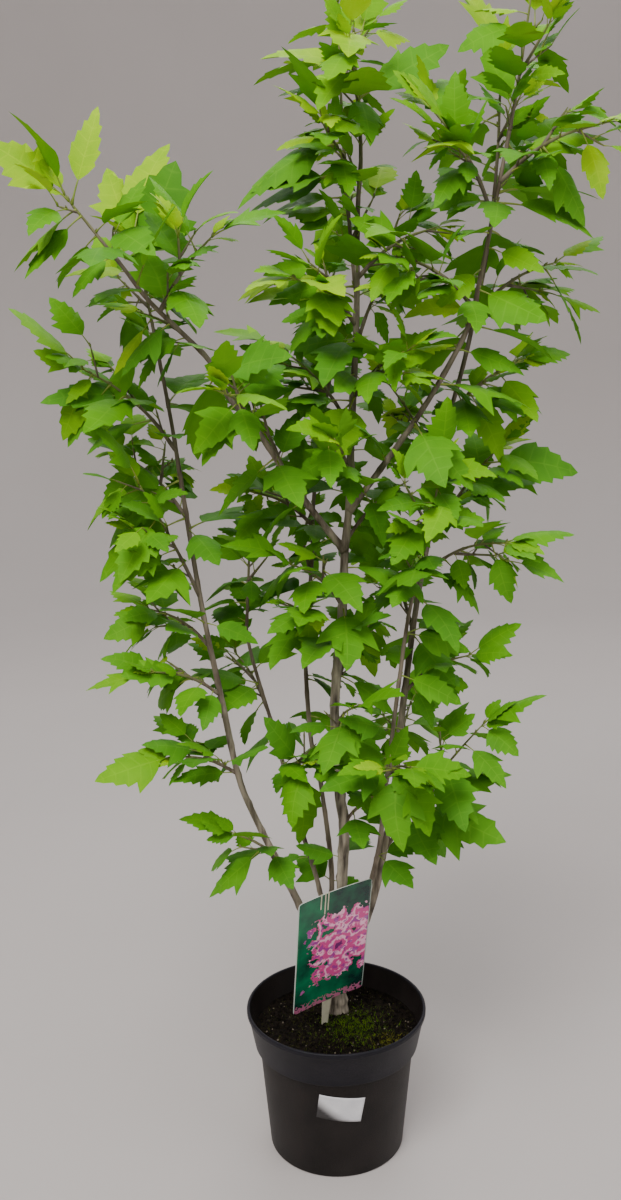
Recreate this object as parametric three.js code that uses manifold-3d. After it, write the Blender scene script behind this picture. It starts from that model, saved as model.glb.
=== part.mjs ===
// Hibiscus shrub in a round black nursery pot, with a picture label stuck in the soil.
// Millimetres, +Z up. The origin is the centre of the pot's flat underside.
// +X is to the right seen from the front, and -Y is the front.
import * as THREE from 'three';
import { mergeVertices } from 'three/addons/utils/BufferGeometryUtils.js';
import Module from 'manifold-3d';

const wasm = await Module();
wasm.setup();

// Driving dimensions
const clearance = 0.3;

const potHeight = 166;
const potRimRadius = 94;
const potCollarFootRadius = 86;
const potCollarHeight = 42;
const potShoulderRadius = 81.5;
const potBaseRadius = 72.5;
const potWall = 1.8;
const potLip = 3.2;
const potFootBevel = 1.5;
const potStep = 2;
const potRimBand = 3.4;
const potRimBevel = 1.2;
const potSides = 32;
const drainHoleRadius = 5;
const drainHoleCircle = 58;
const drainHoleCount = 6;

const soilTop = 141;
const soilInset = 1.5;
const flareHeight = 16;
const flareWidth = 5;

const labelWidth = 86;
const labelHeight = 147;
const labelThickness = 1;
const labelCorner = 4;
const labelPlace = [-10, -6, 175];
const labelYaw = 33;
const labelLean = -13;
const labelRoll = 4;
const labelStakeWidth = 11;
const labelStakeLength = 64;
const labelStakeTaper = 0.4;

const limbStep = 36;
const limbCurveSteps = 4;
const trunkSides = 8;
const boughSides = 5;

// The growing rule. Each foliage mass has one main twig; leaves spiral along it, turned to the
// light, and shorter side twigs carry the rest. A leaf that has no room turns, closes up and
// shrinks a little, a few times over, and is left out if that doesn't help.
const firstSeed = 701;
const seedStep = 17;
const light = new THREE.Vector3(0, -0.8, 1);

const twigRootRadius = 1.9;
const twigTipRadius = 1.0;
const twigSides = 3;
const shootStep = 30;
const fewestSteps = 3;
const shootBareShare = 0.3;
const topBareLength = 6;

const sideTwigEvery = 60;
const sideTwigFirst = 0.8;
const sideTwigShareMin = 0.35;
const sideTwigShareMax = 0.5;
const sideTwigParentMax = 110;
const sideTwigOpening = 50;
const sideTwigRise = 0.2;
const sideTwigTries = 5;
const sideTwigTurnOn = 73;
const sideTwigBareLength = 11;
const sideTwigRootShare = 0.8;
const sideLeafShare = 0.85;

const leafStep = 15.5;
const leafStepSpread = 0.2;
const goldenAngle = 137.5;
const leafLengthMin = 58;
const leafLengthMax = 84;
const leafShareMin = 0.82;
const leafShareMax = 1.12;
const leafAgeShrink = 0.35;
const leafOpening = 64;
const leafDroopMin = 0.1;
const leafDroopMax = 0.75;
const leafTilt = 24;
const lastLeafBefore = 6;
const tipLeafBefore = 1;
const tipLeafOpening = 22;
const tipLeafShare = 0.8;
const leafTries = 6;
const leafTurnOn = 61;
const leafCloseUp = 5;
const leafShrink = 0.08;

const leafThickness = 1.8;
const leafThickest = 0.25;
const leafRootDepth = 0.5;

const leafGap = 5;
const spaceMargin = 1.2;
const limbMargin = 3.5;
const limbSamples = 20;
const soilMargin = 20;

// Leaf outline as shares of its length: how far along, how far to the side, how much it lifts.
// The probes are further places on the leaf that have to be clear as well.
const leafOutline = [
  [0.52, 0.3, 0.03], [0.68, 0.17, 0], [1, 0, -0.1], [0.68, -0.17, 0], [0.52, -0.3, 0.03],
];
const leafProbes = [[0.3, 0], [0.5, 0], [0.75, 0], [0.3, 0.16], [0.3, -0.16]];

// Stems and boughs: radius at the foot and at the tip of the whole stem, the height where
// its bare wood gives way to its leafy top, the limb it springs from, and the line it follows.
const limbs = {
  trunk: {
    foot: 6.4, tip: 1.5, bareTo: 888, from: null,
    line: [[3, 26, soilTop + clearance], [5, 17, 220], [7, 6, 311], [9, 0, 370], [5, 0, 400], [3, 0, 440],
      [0, -2, 485], [3, -4, 535], [8, -4, 590], [10, -4, 640], [14, -2, 680], [16, 3, 740], [19, 8, 790],
      [21, 10, 840], [21, 10, 888], [22, 5, 928], [24, 0, 960], [21, 0, 990], [17, 0, 1045]],
  },
  left_outer_stem: {
    foot: 4.2, tip: 1.2, bareTo: 800, from: 'trunk',
    line: [[3, 24, 165], [-12, 8, 215], [-38, -8, 291], [-77, -10, 382], [-93, -10, 429], [-105, -8, 499],
      [-121, 0, 592], [-133, 10, 684], [-141, 14, 752], [-152, 12, 829], [-159, 10, 873], [-163, 8, 895]],
  },
  right_outer_stem: {
    foot: 4.3, tip: 1.2, bareTo: 921, from: 'trunk',
    line: [[3, 23, 172], [18, 20, 215], [38, 13, 279], [49, 11, 337], [58, 13, 392], [65, 18, 473],
      [80, 26, 597], [98, 32, 696], [103, 34, 743], [119, 42, 804], [135, 52, 884], [141, 56, 957],
      [141, 58, 1025]],
  },
  left_inner_stem: {
    foot: 3.0, tip: 1.2, bareTo: 560, from: 'trunk',
    line: [[3, 23, 178], [-8, 23, 240], [-18, 23, 299], [-38, 30, 370], [-58, 38, 453], [-81, 42, 543],
      [-81, 45, 586], [-76, 50, 660]],
  },
  right_inner_stem: {
    foot: 3.0, tip: 1.2, bareTo: 610, from: 'trunk',
    line: [[4, 22, 182], [18, 7, 235], [34, -5, 305], [43, -16, 356], [47, -26, 414], [59, -26, 526],
      [68, -20, 590], [84, -22, 660], [92, -28, 724]],
  },
  centre_left_stem: {
    foot: 2.8, tip: 1.2, bareTo: 740, from: 'trunk',
    line: [[4, 21, 190], [-3, 25, 260], [-4, 24, 322], [-15, 18, 418], [-23, 25, 456], [-27, 35, 549],
      [-20, 40, 615], [-17, 45, 678], [-11, 50, 731], [3, 55, 811], [-4, 60, 868]],
  },
  left_bough: {
    foot: 3.1, tip: 1.2, bareTo: 874, from: 'trunk',
    line: [[10, -4, 640], [-12, -12, 668], [-39, -25, 706], [-63, -36, 745], [-87, -45, 774],
      [-101, -50, 802], [-144, -60, 845], [-166, -65, 874], [-203, -70, 920]],
  },
  right_bough: {
    foot: 2.8, tip: 1.2, bareTo: 963, from: 'trunk',
    line: [[14, -2, 675], [39, -10, 708], [78, -16, 763], [111, -14, 821], [121, -10, 859], [133, -8, 925],
      [144, -8, 990], [152, -8, 1055]],
  },
};

// Side shoots: name, the limb and the height where each springs, its bearing seen from above
// (0 is to the right, 90 to the back), its length, its rise at the foot and its rise at the tip.
const shoots = [
  ['trunk_shoot_a', 'trunk', 372, -35, 62, 60, 30],
  ['trunk_shoot_b', 'trunk', 468, -70, 60, 60, 20],
  ['trunk_shoot_c', 'trunk', 508, 60, 92, 60, 25],
  ['trunk_shoot_d', 'trunk', 590, -160, 70, 60, 20],
  ['trunk_shoot_e', 'trunk', 648, 25, 84, 55, 20],
  ['trunk_shoot_f', 'trunk', 700, -105, 70, 55, 15],
  ['trunk_shoot_g', 'trunk', 742, 150, 92, 60, 30],
  ['trunk_shoot_h', 'trunk', 768, -35, 74, 55, 15],
  ['trunk_shoot_i', 'trunk', 806, 60, 96, 60, 30],
  ['trunk_shoot_j', 'trunk', 826, -140, 84, 50, 5],
  ['trunk_shoot_k', 'trunk', 862, -5, 80, 50, 10],
  ['left_leader', 'trunk', 846, 150, 215, 82, 89],
  ['left_stem_shoot_a', 'left_outer_stem', 343, 190, 48, 50, 20],
  ['left_stem_shoot_b', 'left_outer_stem', 430, 190, 70, 40, 0],
  ['left_stem_shoot_c', 'left_outer_stem', 508, 200, 74, 45, 5],
  ['left_stem_shoot_d', 'left_outer_stem', 553, 160, 76, 50, 5],
  ['left_stem_shoot_e', 'left_outer_stem', 598, 205, 118, 68, 60],
  ['left_stem_shoot_f', 'left_outer_stem', 668, 150, 92, 55, 20],
  ['left_stem_shoot_g', 'left_outer_stem', 726, 192, 108, 60, 25],
  ['left_inner_shoot_a', 'left_inner_stem', 415, -60, 66, 45, 0],
  ['left_inner_shoot_b', 'left_inner_stem', 478, 120, 86, 50, 15],
  ['centre_shoot_a', 'centre_left_stem', 560, -85, 70, 50, 10],
  ['centre_shoot_b', 'centre_left_stem', 610, 110, 90, 60, 25],
  ['centre_shoot_c', 'centre_left_stem', 655, 200, 72, 50, 10],
  ['left_bough_shoot_a', 'left_bough', 712, 120, 84, 55, 20],
  ['left_bough_shoot_b', 'left_bough', 752, -110, 66, 45, 5],
  ['left_bough_shoot_c', 'left_bough', 806, 170, 62, 50, 15],
  ['left_bough_shoot_d', 'left_bough', 838, 20, 72, 60, 40],
  ['right_stem_shoot_a', 'right_outer_stem', 335, -8, 170, 62, 50],
  ['right_stem_shoot_b', 'right_outer_stem', 428, 75, 86, 50, 10],
  ['right_stem_shoot_c', 'right_outer_stem', 500, -10, 78, 55, 10],
  ['right_stem_shoot_d', 'right_outer_stem', 560, 110, 84, 55, 20],
  ['right_stem_shoot_e', 'right_outer_stem', 608, -22, 96, 50, 0],
  ['right_stem_shoot_f', 'right_outer_stem', 640, 8, 108, 60, 45],
  ['right_stem_shoot_g', 'right_outer_stem', 694, 150, 104, 70, 45],
  ['right_stem_shoot_h', 'right_outer_stem', 750, 0, 78, 55, 20],
  ['right_stem_shoot_i', 'right_outer_stem', 832, 15, 92, 50, 10],
  ['right_inner_shoot', 'right_inner_stem', 430, -70, 64, 50, 5],
  ['right_bough_shoot_a', 'right_bough', 838, -168, 94, 50, 5],
  ['right_bough_shoot_b', 'right_bough', 905, -170, 96, 70, 40],
  ['right_bough_shoot_c', 'right_bough', 930, -20, 92, 45, 5],
];

// Colours
const potColour = new THREE.Color(0.035, 0.035, 0.04);
const soilColour = new THREE.Color(0.05, 0.035, 0.025);
const labelColour = new THREE.Color(0.05, 0.2, 0.12);
const barkColour = new THREE.Color(0.42, 0.36, 0.28);
const leafColour = new THREE.Color(0.24, 0.5, 0.03);

const up = new THREE.Vector3(0, 0, 1);
const toRight = new THREE.Vector3(1, 0, 0);
const toBack = new THREE.Vector3(0, 1, 0);

// Solids: to a boolean library body and back to a mesh
function toSolid(geometry) {
  const bare = geometry.clone();
  bare.deleteAttribute('normal');
  bare.deleteAttribute('uv');
  const merged = mergeVertices(bare, 1e-4);
  return new wasm.Manifold(new wasm.Mesh({
    numProp: 3,
    vertProperties: new Float32Array(merged.attributes.position.array),
    triVerts: new Uint32Array(merged.index.array),
  }));
}

function toGeometry(solid) {
  const mesh = solid.getMesh();
  const geometry = new THREE.BufferGeometry();
  geometry.setAttribute('position', new THREE.BufferAttribute(new Float32Array(mesh.vertProperties), 3));
  geometry.setIndex(new THREE.BufferAttribute(new Uint32Array(mesh.triVerts), 1));
  geometry.computeVertexNormals();
  return geometry;
}

function largestPiece(solid) {
  const pieces = solid.decompose();
  return pieces.reduce((best, piece) => (piece.volume() > best.volume() ? piece : best));
}

function material(colour, roughness) {
  return new THREE.MeshStandardMaterial({ color: colour, roughness, metalness: 0 });
}

function named(name, geometry, colour, roughness) {
  const mesh = new THREE.Mesh(geometry, material(colour, roughness));
  mesh.name = name;
  return mesh;
}

// The same even spread of random numbers from the same seed, every time
function dice(seed) {
  const modulus = 2147483647;
  let state = (seed * 69621 + 7) % modulus;
  return (low, high) => {
    state = (state * 48271) % modulus;
    return low + ((high - low) * state) / modulus;
  };
}

// A line of points with the length walked to each of them
function walk(points) {
  const lengths = [0];
  for (let i = 1; i < points.length; i += 1) {
    lengths.push(lengths[i - 1] + points[i].distanceTo(points[i - 1]));
  }
  return { points, lengths, total: lengths[lengths.length - 1] };
}

function placeAlong(line, distance) {
  const wanted = Math.min(Math.max(distance, 0), line.total);
  let i = 1;
  while (i < line.points.length - 1 && line.lengths[i] < wanted) {
    i += 1;
  }
  const share = (wanted - line.lengths[i - 1]) / (line.lengths[i] - line.lengths[i - 1]);
  return line.points[i - 1].clone().lerp(line.points[i], share);
}

function directionAlong(line, distance) {
  const reach = 3;
  const centre = Math.min(Math.max(distance, reach), line.total - reach);
  return placeAlong(line, centre + reach).sub(placeAlong(line, centre - reach)).normalize();
}

function lengthAtHeight(line, height) {
  let i = 1;
  while (i < line.points.length - 1 && line.points[i].z < height) {
    i += 1;
  }
  const low = line.points[i - 1];
  const high = line.points[i];
  const share = (height - low.z) / (high.z - low.z);
  return line.lengths[i - 1] + share * (line.lengths[i] - line.lengths[i - 1]);
}

function stretch(line, from, to, steps) {
  const points = [];
  for (let i = 0; i <= steps; i += 1) {
    points.push(placeAlong(line, from + ((to - from) * i) / steps));
  }
  return walk(points);
}

// Two directions square to a heading, always picked the same way
function squareTo(heading) {
  const helper = Math.abs(heading.x) < 0.9 ? toRight : toBack;
  const first = helper.clone().addScaledVector(heading, -heading.dot(helper)).normalize();
  const second = heading.clone().cross(first);
  return [first, second];
}

// A closed tapering rod along a line: a ring of points at each step and a fan on each end
function rod(line, radiusAt, sides) {
  const positions = [];
  const faces = [];
  const last = line.points.length - 1;
  line.points.forEach((centre, ring) => {
    const flat = ring === 0 && radiusAt.flatFoot;
    const heading = flat ? up : directionAlong(line, line.lengths[ring]);
    const [first, second] = squareTo(heading);
    const radius = radiusAt(line.lengths[ring]);
    for (let k = 0; k < sides; k += 1) {
      const angle = (2 * Math.PI * k) / sides;
      const point = centre.clone()
        .addScaledVector(first, radius * Math.cos(angle))
        .addScaledVector(second, radius * Math.sin(angle));
      positions.push(point.x, point.y, point.z);
    }
  });
  for (let ring = 0; ring < last; ring += 1) {
    for (let k = 0; k < sides; k += 1) {
      const a = ring * sides + k;
      const b = ring * sides + ((k + 1) % sides);
      faces.push(a, b, b + sides, a, b + sides, a + sides);
    }
  }
  for (let k = 1; k < sides - 1; k += 1) {
    faces.push(0, k + 1, k);
    faces.push(last * sides, last * sides + k, last * sides + k + 1);
  }
  const geometry = new THREE.BufferGeometry();
  geometry.setAttribute('position', new THREE.Float32BufferAttribute(positions, 3));
  geometry.setIndex(faces);
  return geometry;
}

// Pot, soil and label
function potProfile() {
  const collarFoot = potHeight - potCollarHeight;
  const shoulder = collarFoot - potStep;
  const band = potHeight - potRimBand;
  return [
    [0, 0], [potBaseRadius - potFootBevel, 0], [potBaseRadius, potFootBevel],
    [potShoulderRadius, shoulder], [potCollarFootRadius, collarFoot],
    [potRimRadius - potRimBevel, band - potRimBevel / 2], [potRimRadius, band], [potRimRadius, potHeight],
    [potRimRadius - potLip, potHeight], [potCollarFootRadius - potWall, collarFoot + potFootBevel],
    [potShoulderRadius - potWall, shoulder - potFootBevel / 3],
    [potBaseRadius - potWall, potWall], [0, potWall],
  ];
}

function lathe(profile) {
  const points = profile.map(([radius, height]) => new THREE.Vector2(radius, height));
  const geometry = new THREE.LatheGeometry(points, potSides);
  geometry.rotateX(Math.PI / 2);
  return geometry;
}

function makePot() {
  let pot = toSolid(lathe(potProfile()));
  for (let k = 0; k < drainHoleCount; k += 1) {
    const angle = (2 * Math.PI * k) / drainHoleCount;
    const hole = new THREE.CylinderGeometry(drainHoleRadius, drainHoleRadius, 4 * potWall, 8);
    hole.rotateX(Math.PI / 2);
    hole.translate(drainHoleCircle * Math.cos(angle), drainHoleCircle * Math.sin(angle), 0);
    pot = pot.subtract(toSolid(hole));
  }
  return toGeometry(pot);
}

function labelTurn() {
  return new THREE.Matrix4().makeTranslation(...labelPlace)
    .multiply(new THREE.Matrix4().makeRotationZ(THREE.MathUtils.degToRad(labelYaw)))
    .multiply(new THREE.Matrix4().makeRotationX(THREE.MathUtils.degToRad(-labelLean)))
    .multiply(new THREE.Matrix4().makeRotationY(THREE.MathUtils.degToRad(-labelRoll)));
}

// The label stands in its own X and Z, its card above the origin and its stake below it
function labelSolid(extra) {
  const half = labelWidth / 2 + extra;
  const stake = labelStakeWidth / 2 + extra;
  const shape = new THREE.Shape();
  shape.moveTo(-stake, 0);
  shape.lineTo(-stake * labelStakeTaper, -labelStakeLength - extra);
  shape.lineTo(stake * labelStakeTaper, -labelStakeLength - extra);
  shape.lineTo(stake, 0);
  shape.lineTo(half - labelCorner, 0);
  shape.lineTo(half, labelCorner);
  shape.lineTo(half, labelHeight - labelCorner);
  shape.lineTo(half - labelCorner, labelHeight);
  shape.lineTo(-half + labelCorner, labelHeight);
  shape.lineTo(-half, labelHeight - labelCorner);
  shape.lineTo(-half, labelCorner);
  shape.lineTo(-half + labelCorner, 0);
  const thickness = labelThickness + 2 * extra;
  const geometry = new THREE.ExtrudeGeometry(shape, { depth: thickness, bevelEnabled: false });
  geometry.translate(0, 0, -thickness / 2);
  geometry.rotateX(Math.PI / 2);
  geometry.applyMatrix4(labelTurn());
  return toSolid(geometry);
}

function makeSoil() {
  const gap = potWall + clearance;
  const collarFoot = potHeight - potCollarHeight;
  const shoulder = collarFoot - potStep - potFootBevel / 3;
  const shareUp = (soilTop - collarFoot) / potCollarHeight;
  const topRadius = THREE.MathUtils.lerp(potCollarFootRadius, potRimRadius, shareUp) - gap - soilInset;
  const profile = [
    [0, gap], [potBaseRadius - gap - clearance, gap],
    [potShoulderRadius - gap - clearance, shoulder],
    [potCollarFootRadius - gap - clearance, collarFoot + potFootBevel], [topRadius, soilTop], [0, soilTop],
  ];
  return toGeometry(toSolid(lathe(profile)).subtract(labelSolid(clearance)));
}

// Limbs
const limbLines = {};
const limbSolids = {};

function limbRadius(name) {
  const limb = limbs[name];
  const line = limbLines[name];
  const radiusAt = (distance) => {
    const taper = THREE.MathUtils.lerp(limb.foot, limb.tip, Math.min(distance / line.total, 1));
    const flare = limb.from ? 0 : flareWidth * Math.exp(-distance / flareHeight);
    return taper + flare;
  };
  radiusAt.flatFoot = !limb.from;
  return radiusAt;
}

function buildLimbs() {
  Object.entries(limbs).forEach(([name, limb]) => {
    const points = limb.line.map((point) => new THREE.Vector3(...point));
    const curve = new THREE.CatmullRomCurve3(points, false, 'catmullrom', 0.5);
    limbLines[name] = walk(curve.getPoints(limbCurveSteps * (points.length - 1)));
  });
  const earlier = [];
  Object.entries(limbs).forEach(([name, limb]) => {
    const line = limbLines[name];
    const bareLength = lengthAtHeight(line, limb.bareTo);
    const bare = stretch(line, 0, bareLength, Math.ceil(bareLength / limbStep));
    const radiusAt = limbRadius(name);
    const wide = (distance) => radiusAt(distance) + clearance;
    wide.flatFoot = radiusAt.flatFoot;
    const sides = limb.from ? boughSides : trunkSides;
    let solid = toSolid(rod(bare, radiusAt, sides));
    earlier.forEach((other) => {
      solid = solid.subtract(other);
    });
    limbSolids[name] = largestPiece(solid);
    earlier.push(toSolid(rod(bare, wide, sides)));
    limb.bareLength = bareLength;
    limb.wide = earlier[earlier.length - 1];
  });
}

// Foliage masses: each has one stem, and keeps to the space that is nearer to it than to any other
function shootLine(limbName, height, bearing, length, riseFoot, riseTip) {
  const limb = limbLines[limbName];
  const start = placeAlong(limb, lengthAtHeight(limb, height));
  const turn = THREE.MathUtils.degToRad(bearing);
  const headings = [riseFoot, riseTip].map((rise) => {
    const slope = THREE.MathUtils.degToRad(rise);
    const flat = Math.cos(slope);
    return new THREE.Vector3(flat * Math.cos(turn), flat * Math.sin(turn), Math.sin(slope));
  });
  const bend = start.clone().addScaledVector(headings[0], length / 2);
  const tip = bend.clone().addScaledVector(headings[1], length / 2);
  const steps = Math.max(fewestSteps, Math.round(length / shootStep));
  const points = [];
  for (let i = 0; i <= steps; i += 1) {
    const t = i / steps;
    points.push(start.clone().multiplyScalar((1 - t) ** 2)
      .addScaledVector(bend, 2 * t * (1 - t)).addScaledVector(tip, t * t));
  }
  return walk(points);
}

function listMasses() {
  const masses = shoots.map(([name, limb, height, bearing, length, riseFoot, riseTip]) => ({
    name,
    limb,
    spine: shootLine(limb, height, bearing, length, riseFoot, riseTip),
    bareLength: shootBareShare * length,
    rootRadius: twigRootRadius,
  }));
  Object.entries(limbs).forEach(([name, limb]) => {
    const line = limbLines[name];
    const from = limb.bareLength + clearance;
    const steps = Math.max(fewestSteps, Math.round((line.total - from) / shootStep));
    masses.push({
      name: `${name}_top`,
      limb: name,
      spine: stretch(line, from, line.total, steps),
      bareLength: topBareLength,
      rootRadius: limbRadius(name)(from),
    });
  });
  masses.forEach((mass, index) => {
    mass.seed = firstSeed + seedStep * index;
  });
  return masses;
}

function distanceToLine(point, line) {
  let nearest = Infinity;
  const along = new THREE.Vector3();
  const away = new THREE.Vector3();
  for (let i = 1; i < line.points.length; i += 1) {
    const low = line.points[i - 1];
    along.copy(line.points[i]).sub(low);
    away.copy(point).sub(low);
    const share = Math.min(Math.max(away.dot(along) / along.lengthSq(), 0), 1);
    nearest = Math.min(nearest, away.addScaledVector(along, -share).length());
  }
  return nearest;
}

// True where every point is nearer to the mass's own stem than to another's, and clear of bare wood
function isFree(points, mass, masses, bareLines) {
  return points.every((point) => {
    const own = distanceToLine(point, mass.spine);
    const crowded = masses.some((other) => other !== mass
      && distanceToLine(point, other.spine) < own + spaceMargin);
    const touching = bareLines.some((limb) => distanceToLine(point, limb) < limb.radius + limbMargin);
    return !crowded && !touching && point.z > soilTop + soilMargin;
  });
}

function leafPoint(leaf, alongShare, sideShare, lift) {
  return leaf.root.clone()
    .addScaledVector(leaf.ahead, alongShare * leaf.length)
    .addScaledVector(leaf.across, sideShare * leaf.length)
    .addScaledVector(leaf.face, lift * leaf.length);
}

// A leaf's own directions: ahead along its midrib, face towards the light, across to its side
function placeLeaf(root, heading, opening, turn, droop, roll, length) {
  const [first, second] = squareTo(heading);
  const angle = THREE.MathUtils.degToRad(turn);
  const open = THREE.MathUtils.degToRad(opening);
  const outward = first.multiplyScalar(Math.cos(angle)).addScaledVector(second, Math.sin(angle));
  const ahead = outward.multiplyScalar(Math.sin(open)).addScaledVector(heading, Math.cos(open));
  ahead.addScaledVector(up, -droop).normalize();
  const face = light.clone().addScaledVector(ahead, -light.dot(ahead)).normalize();
  const across = ahead.clone().cross(face);
  const tilt = THREE.MathUtils.degToRad(roll);
  const tiltedAcross = across.clone().multiplyScalar(Math.cos(tilt)).addScaledVector(face, Math.sin(tilt));
  const tiltedFace = face.multiplyScalar(Math.cos(tilt)).addScaledVector(across, -Math.sin(tilt));
  return { root, ahead, across: tiltedAcross, face: tiltedFace, length };
}

// A closed leaf: two shallow cones on one outline, its root point sunk past the twig's middle
function leafGeometry(leaf) {
  const points = [
    leafPoint(leaf, leafThickest, 0, 0).addScaledVector(leaf.face, leafThickness / 2),
    leafPoint(leaf, leafThickest, 0, 0).addScaledVector(leaf.face, -leafThickness / 2),
    leaf.root.clone().addScaledVector(leaf.ahead, -leafRootDepth),
    ...leafOutline.map(([along, side, lift]) => leafPoint(leaf, along, side, lift)),
  ];
  const positions = points.flatMap((point) => point.toArray());
  const faces = [];
  const rim = points.length - 2;
  for (let i = 0; i < rim; i += 1) {
    const here = 2 + i;
    const next = 2 + ((i + 1) % rim);
    faces.push(0, here, next, 1, next, here);
  }
  const geometry = new THREE.BufferGeometry();
  geometry.setAttribute('position', new THREE.Float32BufferAttribute(positions, 3));
  geometry.setIndex(faces);
  return geometry;
}

function isApart(probes, leaves) {
  return leaves.every((leaf) => leaf.probes.every((taken) => (
    probes.every((point) => point.distanceTo(taken) > leafGap))));
}

function growTwig(mass, twig, start, leafSize, roll, leaves, masses, bareLines) {
  const line = twig.line;
  const tryLeaf = (distance, opening, turn, droop, tilt, length) => {
    const root = placeAlong(line, distance);
    const heading = directionAlong(line, distance);
    for (let attempt = 0; attempt < leafTries; attempt += 1) {
      const size = length * (1 - leafShrink * attempt);
      const open = opening - leafCloseUp * attempt;
      const leaf = placeLeaf(root, heading, open, turn + leafTurnOn * attempt, droop, tilt, size);
      const places = [...leafProbes, ...leafOutline];
      const probes = places.map(([along, side]) => leafPoint(leaf, along, side, 0));
      if (isApart(probes, leaves) && isFree(probes, mass, masses, bareLines)) {
        leaf.probes = probes;
        leaves.push(leaf);
        break;
      }
    }
  };
  let turn = roll(0, 360);
  let distance = start;
  while (distance < line.total - lastLeafBefore) {
    const age = distance / line.total;
    const length = leafSize * roll(leafShareMin, leafShareMax) * (1 - leafAgeShrink * age * age);
    const droop = roll(leafDroopMin, leafDroopMax);
    const tilt = roll(-leafTilt, leafTilt);
    tryLeaf(distance, leafOpening, turn, droop, tilt, length);
    turn += goldenAngle;
    distance += leafStep * roll(1 - leafStepSpread, 1 + leafStepSpread);
  }
  const tipTilt = roll(-leafTilt, leafTilt);
  tryLeaf(line.total - tipLeafBefore, tipLeafOpening, turn, 0, tipTilt, leafSize * tipLeafShare);
}

function growMass(mass, masses, bareLines) {
  const roll = dice(mass.seed);
  const size = roll(leafLengthMin, leafLengthMax);
  const twigs = [{ line: mass.spine, root: mass.rootRadius }];
  const leaves = [];
  growTwig(mass, twigs[0], mass.bareLength, size, roll, leaves, masses, bareLines);
  const total = mass.spine.total;
  const sideTwigs = Math.floor(total / sideTwigEvery);
  for (let k = 0; k < sideTwigs; k += 1) {
    const distance = total * ((k + sideTwigFirst) / (sideTwigs + sideTwigFirst));
    const length = roll(sideTwigShareMin, sideTwigShareMax) * Math.min(total, sideTwigParentMax);
    const turn = roll(0, 360);
    const root = placeAlong(mass.spine, distance);
    const heading = directionAlong(mass.spine, distance);
    for (let attempt = 0; attempt < sideTwigTries; attempt += 1) {
      const bearing = turn + sideTwigTurnOn * attempt;
      const pose = placeLeaf(root, heading, sideTwigOpening, bearing, -sideTwigRise, 0, length);
      const tip = leafPoint(pose, 1, 0, 0);
      const middle = leafPoint(pose, 0.5, 0, 0);
      if (isFree([middle, tip], mass, masses, bareLines)) {
        const twig = { line: walk([root, tip]), root: twigRootRadius * sideTwigRootShare };
        twigs.push(twig);
        growTwig(mass, twig, sideTwigBareLength, size * sideLeafShare, roll, leaves, masses, bareLines);
        break;
      }
    }
  }
  return { twigs, leaves };
}

function fuseMass(mass, grown) {
  const [main, ...side] = grown.twigs.map(({ line, root }) => {
    const radiusAt = (distance) => THREE.MathUtils.lerp(root, twigTipRadius, distance / line.total);
    return toSolid(rod(line, radiusAt, twigSides));
  });
  let solid = main;
  side.forEach((twig) => {
    solid = solid.add(twig);
  });
  grown.leaves.forEach((leaf) => {
    solid = solid.add(toSolid(leafGeometry(leaf)));
  });
  return largestPiece(solid.subtract(limbs[mass.limb].wide));
}

// Assembly
const plant = new THREE.Group();
buildLimbs();
const masses = listMasses();
const bareLines = Object.entries(limbs).map(([name, limb]) => {
  const line = stretch(limbLines[name], 0, limb.bareLength, limbSamples);
  line.radius = limb.foot;
  return line;
});

plant.add(named('pot', makePot(), potColour, 0.45));
plant.add(named('soil', makeSoil(), soilColour, 0.95));
plant.add(named('label', toGeometry(labelSolid(0)), labelColour, 0.4));
Object.keys(limbs).forEach((name) => {
  plant.add(named(name, toGeometry(limbSolids[name]), barkColour, 0.85));
});

masses.forEach((mass) => {
  const grown = growMass(mass, masses, bareLines);
  plant.add(named(mass.name, toGeometry(fuseMass(mass, grown)), leafColour, 0.55));
});

export default plant;
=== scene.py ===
# %% [markdown]
# # A hibiscus shrub in its nursery pot
#
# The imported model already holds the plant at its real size: a pot with its compost and label,
# eight woody stems and boughs, and 49 leafy masses made by a seeded growing rule. This lesson
# dresses it. The growing rule is written again here and carried on to finer twigs, toothed and
# lobed leaves with stalks, and buds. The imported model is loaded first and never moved.

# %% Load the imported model
import math

import bpy
import numpy as np
from mathutils import Matrix, Vector


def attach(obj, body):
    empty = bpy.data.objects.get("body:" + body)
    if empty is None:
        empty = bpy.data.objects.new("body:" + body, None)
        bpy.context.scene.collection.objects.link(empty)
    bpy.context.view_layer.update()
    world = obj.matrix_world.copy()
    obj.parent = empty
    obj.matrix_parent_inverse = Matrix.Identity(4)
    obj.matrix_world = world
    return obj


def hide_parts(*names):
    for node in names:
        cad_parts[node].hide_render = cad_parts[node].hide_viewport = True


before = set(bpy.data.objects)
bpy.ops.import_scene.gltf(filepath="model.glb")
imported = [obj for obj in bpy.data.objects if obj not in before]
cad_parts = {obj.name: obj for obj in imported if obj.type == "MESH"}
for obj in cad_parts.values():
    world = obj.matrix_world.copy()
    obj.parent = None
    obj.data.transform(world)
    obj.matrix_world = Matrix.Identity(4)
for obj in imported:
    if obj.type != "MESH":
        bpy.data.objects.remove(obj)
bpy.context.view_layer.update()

MM = 0.001

# %% [markdown]
# ## Camera
#
# The picture this plant was read from was taken by a hand-held camera standing a little over a
# metre away, looking down by 22 degrees. Its place came from fitting the pot's two ellipses.
# A camera could be aimed with a constraint, but a matrix built from its three axes also holds
# the slight roll of the hand, so that is used.

# %% Camera
CAMERA_PLACE = (-24.0, -1052.0, 822.0)
CAMERA_PITCH = 22.2
CAMERA_ROLL = 0.83
FRAME_WIDTH, FRAME_HEIGHT = 621, 1200
FOCAL_PIXELS = 1160.0
MIDDLE_PIXEL = (310.5, 805.0)
SENSOR = 36.0


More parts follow.
